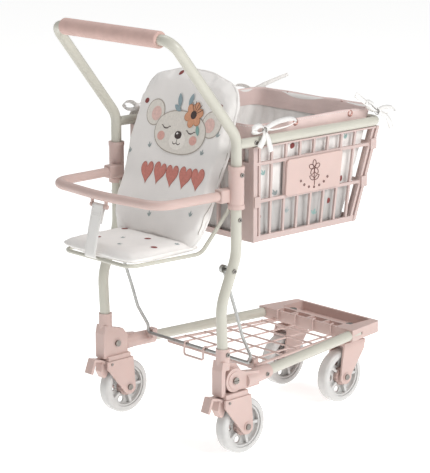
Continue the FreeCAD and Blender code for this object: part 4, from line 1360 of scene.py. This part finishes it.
class TROLLEY_OT_recesses(bpy.types.Operator):
    """Lays a dark cross of painted shadow on the head of every small screw, for the shade in its cross recess
    """

    bl_idname = "trolley.recesses"
    bl_label = "Screw Recesses"

    def execute(self, context):
        for node, body in (("frame_screws", "frame"), ("platform_screws", "platform")):
            form = bmesh.new()
            form.from_mesh(frame["nodes"][node].data)
            bmesh.ops.remove_doubles(form, verts=form.verts, dist=0.01 * MM)
            points, faces = [], []
            left = set(form.faces)
            while left:
                island = [left.pop()]
                for face in island:
                    for edge in face.edges:
                        for near in edge.link_faces:
                            if near in left:
                                left.remove(near)
                                island.append(near)
                self.cross(island, points, faces)
            form.free()
            # Painted shadow: the crosses are flat dark sheets that stand for the shade inside each cross
            # recess.
            shadow = ink("recess shadow", "#2B2826")
            mesh_piece(node + "_recesses", points, faces, shadow, smooth=False, body=body)
        return {"FINISHED"}

    def cross(self, island, points, faces):
        """A dark cross of painted shadow on the outermost flat of one head."""
        area = sum(f.calc_area() for f in island)
        centre = sum((f.calc_center_median() * f.calc_area() for f in island), Vector()) / area
        flats = {}
        for f in island:
            key = tuple(round(c, 2) for c in f.normal)
            flats[key] = flats.get(key, 0.0) + f.calc_area()
        best = max(flats, key=flats.get)
        normal = Vector(best).normalized()
        outer = Vector((0, centre.y, 0)) if abs(normal.y) > 0.7 else Vector((1, 0, 0))
        if normal.dot(outer) < 0:
            normal = -normal
        reach = max((v.co - centre).dot(normal) for f in island for v in f.verts)
        spot = centre + normal * (reach + 0.06 * MM)
        side = normal.cross(Vector((0, 0, 1))).normalized()
        up = side.cross(normal)
        for a, b in ((side + up, side - up), (side - up, side + up)):
            base = len(points)
            for i, j in ((-1, -1), (1, -1), (1, 1), (-1, 1)):
                points.append(spot + a.normalized() * i * 2.1 * MM + b.normalized() * j * 0.5 * MM)
            faces.append((base, base + 1, base + 2, base + 3))
            spot = spot + normal * 0.03 * MM


class TROLLEY_OT_mouldings(bpy.types.Operator):
    """Gives the moulded fittings, the crate and the grip their finish"""

    bl_idname = "trolley.mouldings"
    bl_label = "Mouldings and Grip"

    def execute(self, context):
        finish_nodes("pink_plastic", "pink_crate", "grip_foam")
        return {"FINISHED"}


class TROLLEY_OT_wires(bpy.types.Operator):
    """Gives the wire shelf, seat wire and locking wire their finish"""

    bl_idname = "trolley.wires"
    bl_label = "Wires"

    def execute(self, context):
        finish_nodes("pink_wire", "zinc_wire")
        return {"FINISHED"}


class TROLLEY_OT_wheels(bpy.types.Operator):
    """Gives the wheels their finish"""

    bl_idname = "trolley.wheels"
    bl_label = "Wheels"

    def execute(self, context):
        finish_nodes("wheel_white")
        return {"FINISHED"}


class TROLLEY_OT_cloth_nodes(bpy.types.Operator):
    """Gives the soft parts that are not shown a plain cloth finish"""

    bl_idname = "trolley.cloth_nodes"
    bl_label = "Hidden Soft Parts"

    def execute(self, context):
        for node, slot in sorted(FINISH_OF_NODE.items()):
            if slot.startswith("fabric"):
                for place in frame["nodes"][node].material_slots:
                    place.material = dressed("lining")
        return {"FINISHED"}


# ---------------------------------------------------------------- stage
class TROLLEY_OT_studio(bpy.types.Operator):
    """Sets the pale floor, the soft lights and the camera"""

    bl_idname = "trolley.studio"
    bl_label = "Studio"

    def execute(self, context):
        studio = context.scene.trolley_studio
        scene = context.scene
        scene.view_settings.view_transform = "Standard"
        floor_mesh = bpy.data.meshes.new("studio_floor")
        size, parts = 24.0, 8
        points = [
            (size * (i / parts - 0.5), size * (j / parts - 0.5), -0.0002)
            for j in range(parts + 1) for i in range(parts + 1)
        ]
        row = parts + 1
        faces = [
            (j * row + i, j * row + i + 1, (j + 1) * row + i + 1, (j + 1) * row + i)
            for j in range(parts) for i in range(parts)
        ]
        floor_mesh.from_pydata(points, [], faces)
        # Matt paper sweep: nearly white, with no gloss, so that only soft shadows show.
        material, tree, shader, place = new_material("Matt paper floor", Roughness=0.9)
        mottled(tree, shader, place, linear("#FBFBFA"), 900, 0.99, 1.0)
        shader.inputs["Emission Color"].default_value = linear("#FFFFFF")
        shader.inputs["Emission Strength"].default_value = studio.paper
        floor_mesh.materials.append(material)
        floor = bpy.data.objects.new("studio_floor", floor_mesh)
        scene.collection.objects.link(floor)

        world = bpy.data.worlds.new("Studio room")
        scene.world = world
        world.use_nodes = True
        world.node_tree.nodes["Background"].inputs["Color"].default_value = linear("#FFFFFF")
        world.node_tree.nodes["Background"].inputs["Strength"].default_value = studio.sky

        target = Vector(CAMERA_TARGET)
        self.light("key_light", (0.5, -3.0, 2.3), studio.key, 1.5, target)
        self.light("fill_light", (-2.7, -0.9, 1.7), studio.fill, 1.6, target)
        self.light("top_light", (0.3, 0.9, 3.0), studio.top, 1.8, target)

        camera_data = bpy.data.cameras.new("studio_camera")
        camera = bpy.data.objects.new("studio_camera", camera_data)
        scene.collection.objects.link(camera)
        camera_data.lens = studio.lens
        camera_data.sensor_width = 36
        camera_data.clip_end = 100
        a, e = studio.azimuth, studio.elevation
        back = Vector((math.sin(a) * math.cos(e), -math.cos(a) * math.cos(e), math.sin(e)))
        camera.location = target + back * studio.distance
        camera.rotation_euler = (math.pi / 2 - e, 0, a)
        scene.camera = camera
        return {"FINISHED"}

    def light(self, name, place, power, size, target):
        lamp = bpy.data.lights.new(name, "AREA")
        lamp.energy = power
        lamp.size = size
        holder = bpy.data.objects.new(name, lamp)
        bpy.context.scene.collection.objects.link(holder)
        holder.location = place
        holder.rotation_euler = (target - Vector(place)).to_track_quat("-Z", "Y").to_euler()


OPERATORS = (
    TROLLEY_OT_studio,
    TROLLEY_OT_tubes,
    TROLLEY_OT_recesses,
    TROLLEY_OT_mouldings,
    TROLLEY_OT_wires,
    TROLLEY_OT_wheels,
    TROLLEY_OT_cloth_nodes,
    TROLLEY_OT_seat_back,
    TROLLEY_OT_seat_pad,
    TROLLEY_OT_seat_print,
    TROLLEY_OT_lining,
    TROLLEY_OT_ribbons,
    TROLLEY_OT_strap,
    TROLLEY_OT_plate,
)


class TROLLEY_PT_pieces(bpy.types.Panel):
    """Lists the trolley's settings and the makers of its pieces"""

    bl_idname = "TROLLEY_PT_pieces"
    bl_label = "Toy Shopping Trolley"
    bl_space_type = "VIEW_3D"
    bl_region_type = "UI"
    bl_category = "Trolley"

    def draw(self, context):
        layout = self.layout
        scene = context.scene
        for settings in (scene.trolley_finishes, scene.trolley_sewing, scene.trolley_studio):
            box = layout.box()
            for name in settings.bl_rna.properties.keys():
                if name not in {"rna_type", "name"}:
                    box.prop(settings, name)
        for operator in OPERATORS:
            layout.operator(operator.bl_idname)


CLASSES = (TrolleyFinishes, TrolleySewing, TrolleyStudio) + OPERATORS + (TROLLEY_PT_pieces,)


def register():
    for one in CLASSES:
        bpy.utils.register_class(one)
    bpy.types.Scene.trolley_finishes = PointerProperty(type=TrolleyFinishes)
    bpy.types.Scene.trolley_sewing = PointerProperty(type=TrolleySewing)
    bpy.types.Scene.trolley_studio = PointerProperty(type=TrolleyStudio)


def unregister():
    del bpy.types.Scene.trolley_finishes
    del bpy.types.Scene.trolley_sewing
    del bpy.types.Scene.trolley_studio
    for one in reversed(CLASSES):
        bpy.utils.unregister_class(one)


def main():
    register()
    for operator in OPERATORS:
        group, name = operator.bl_idname.split(".")
        getattr(getattr(bpy.ops, group), name)()


if __name__ == "__main__":
    main()
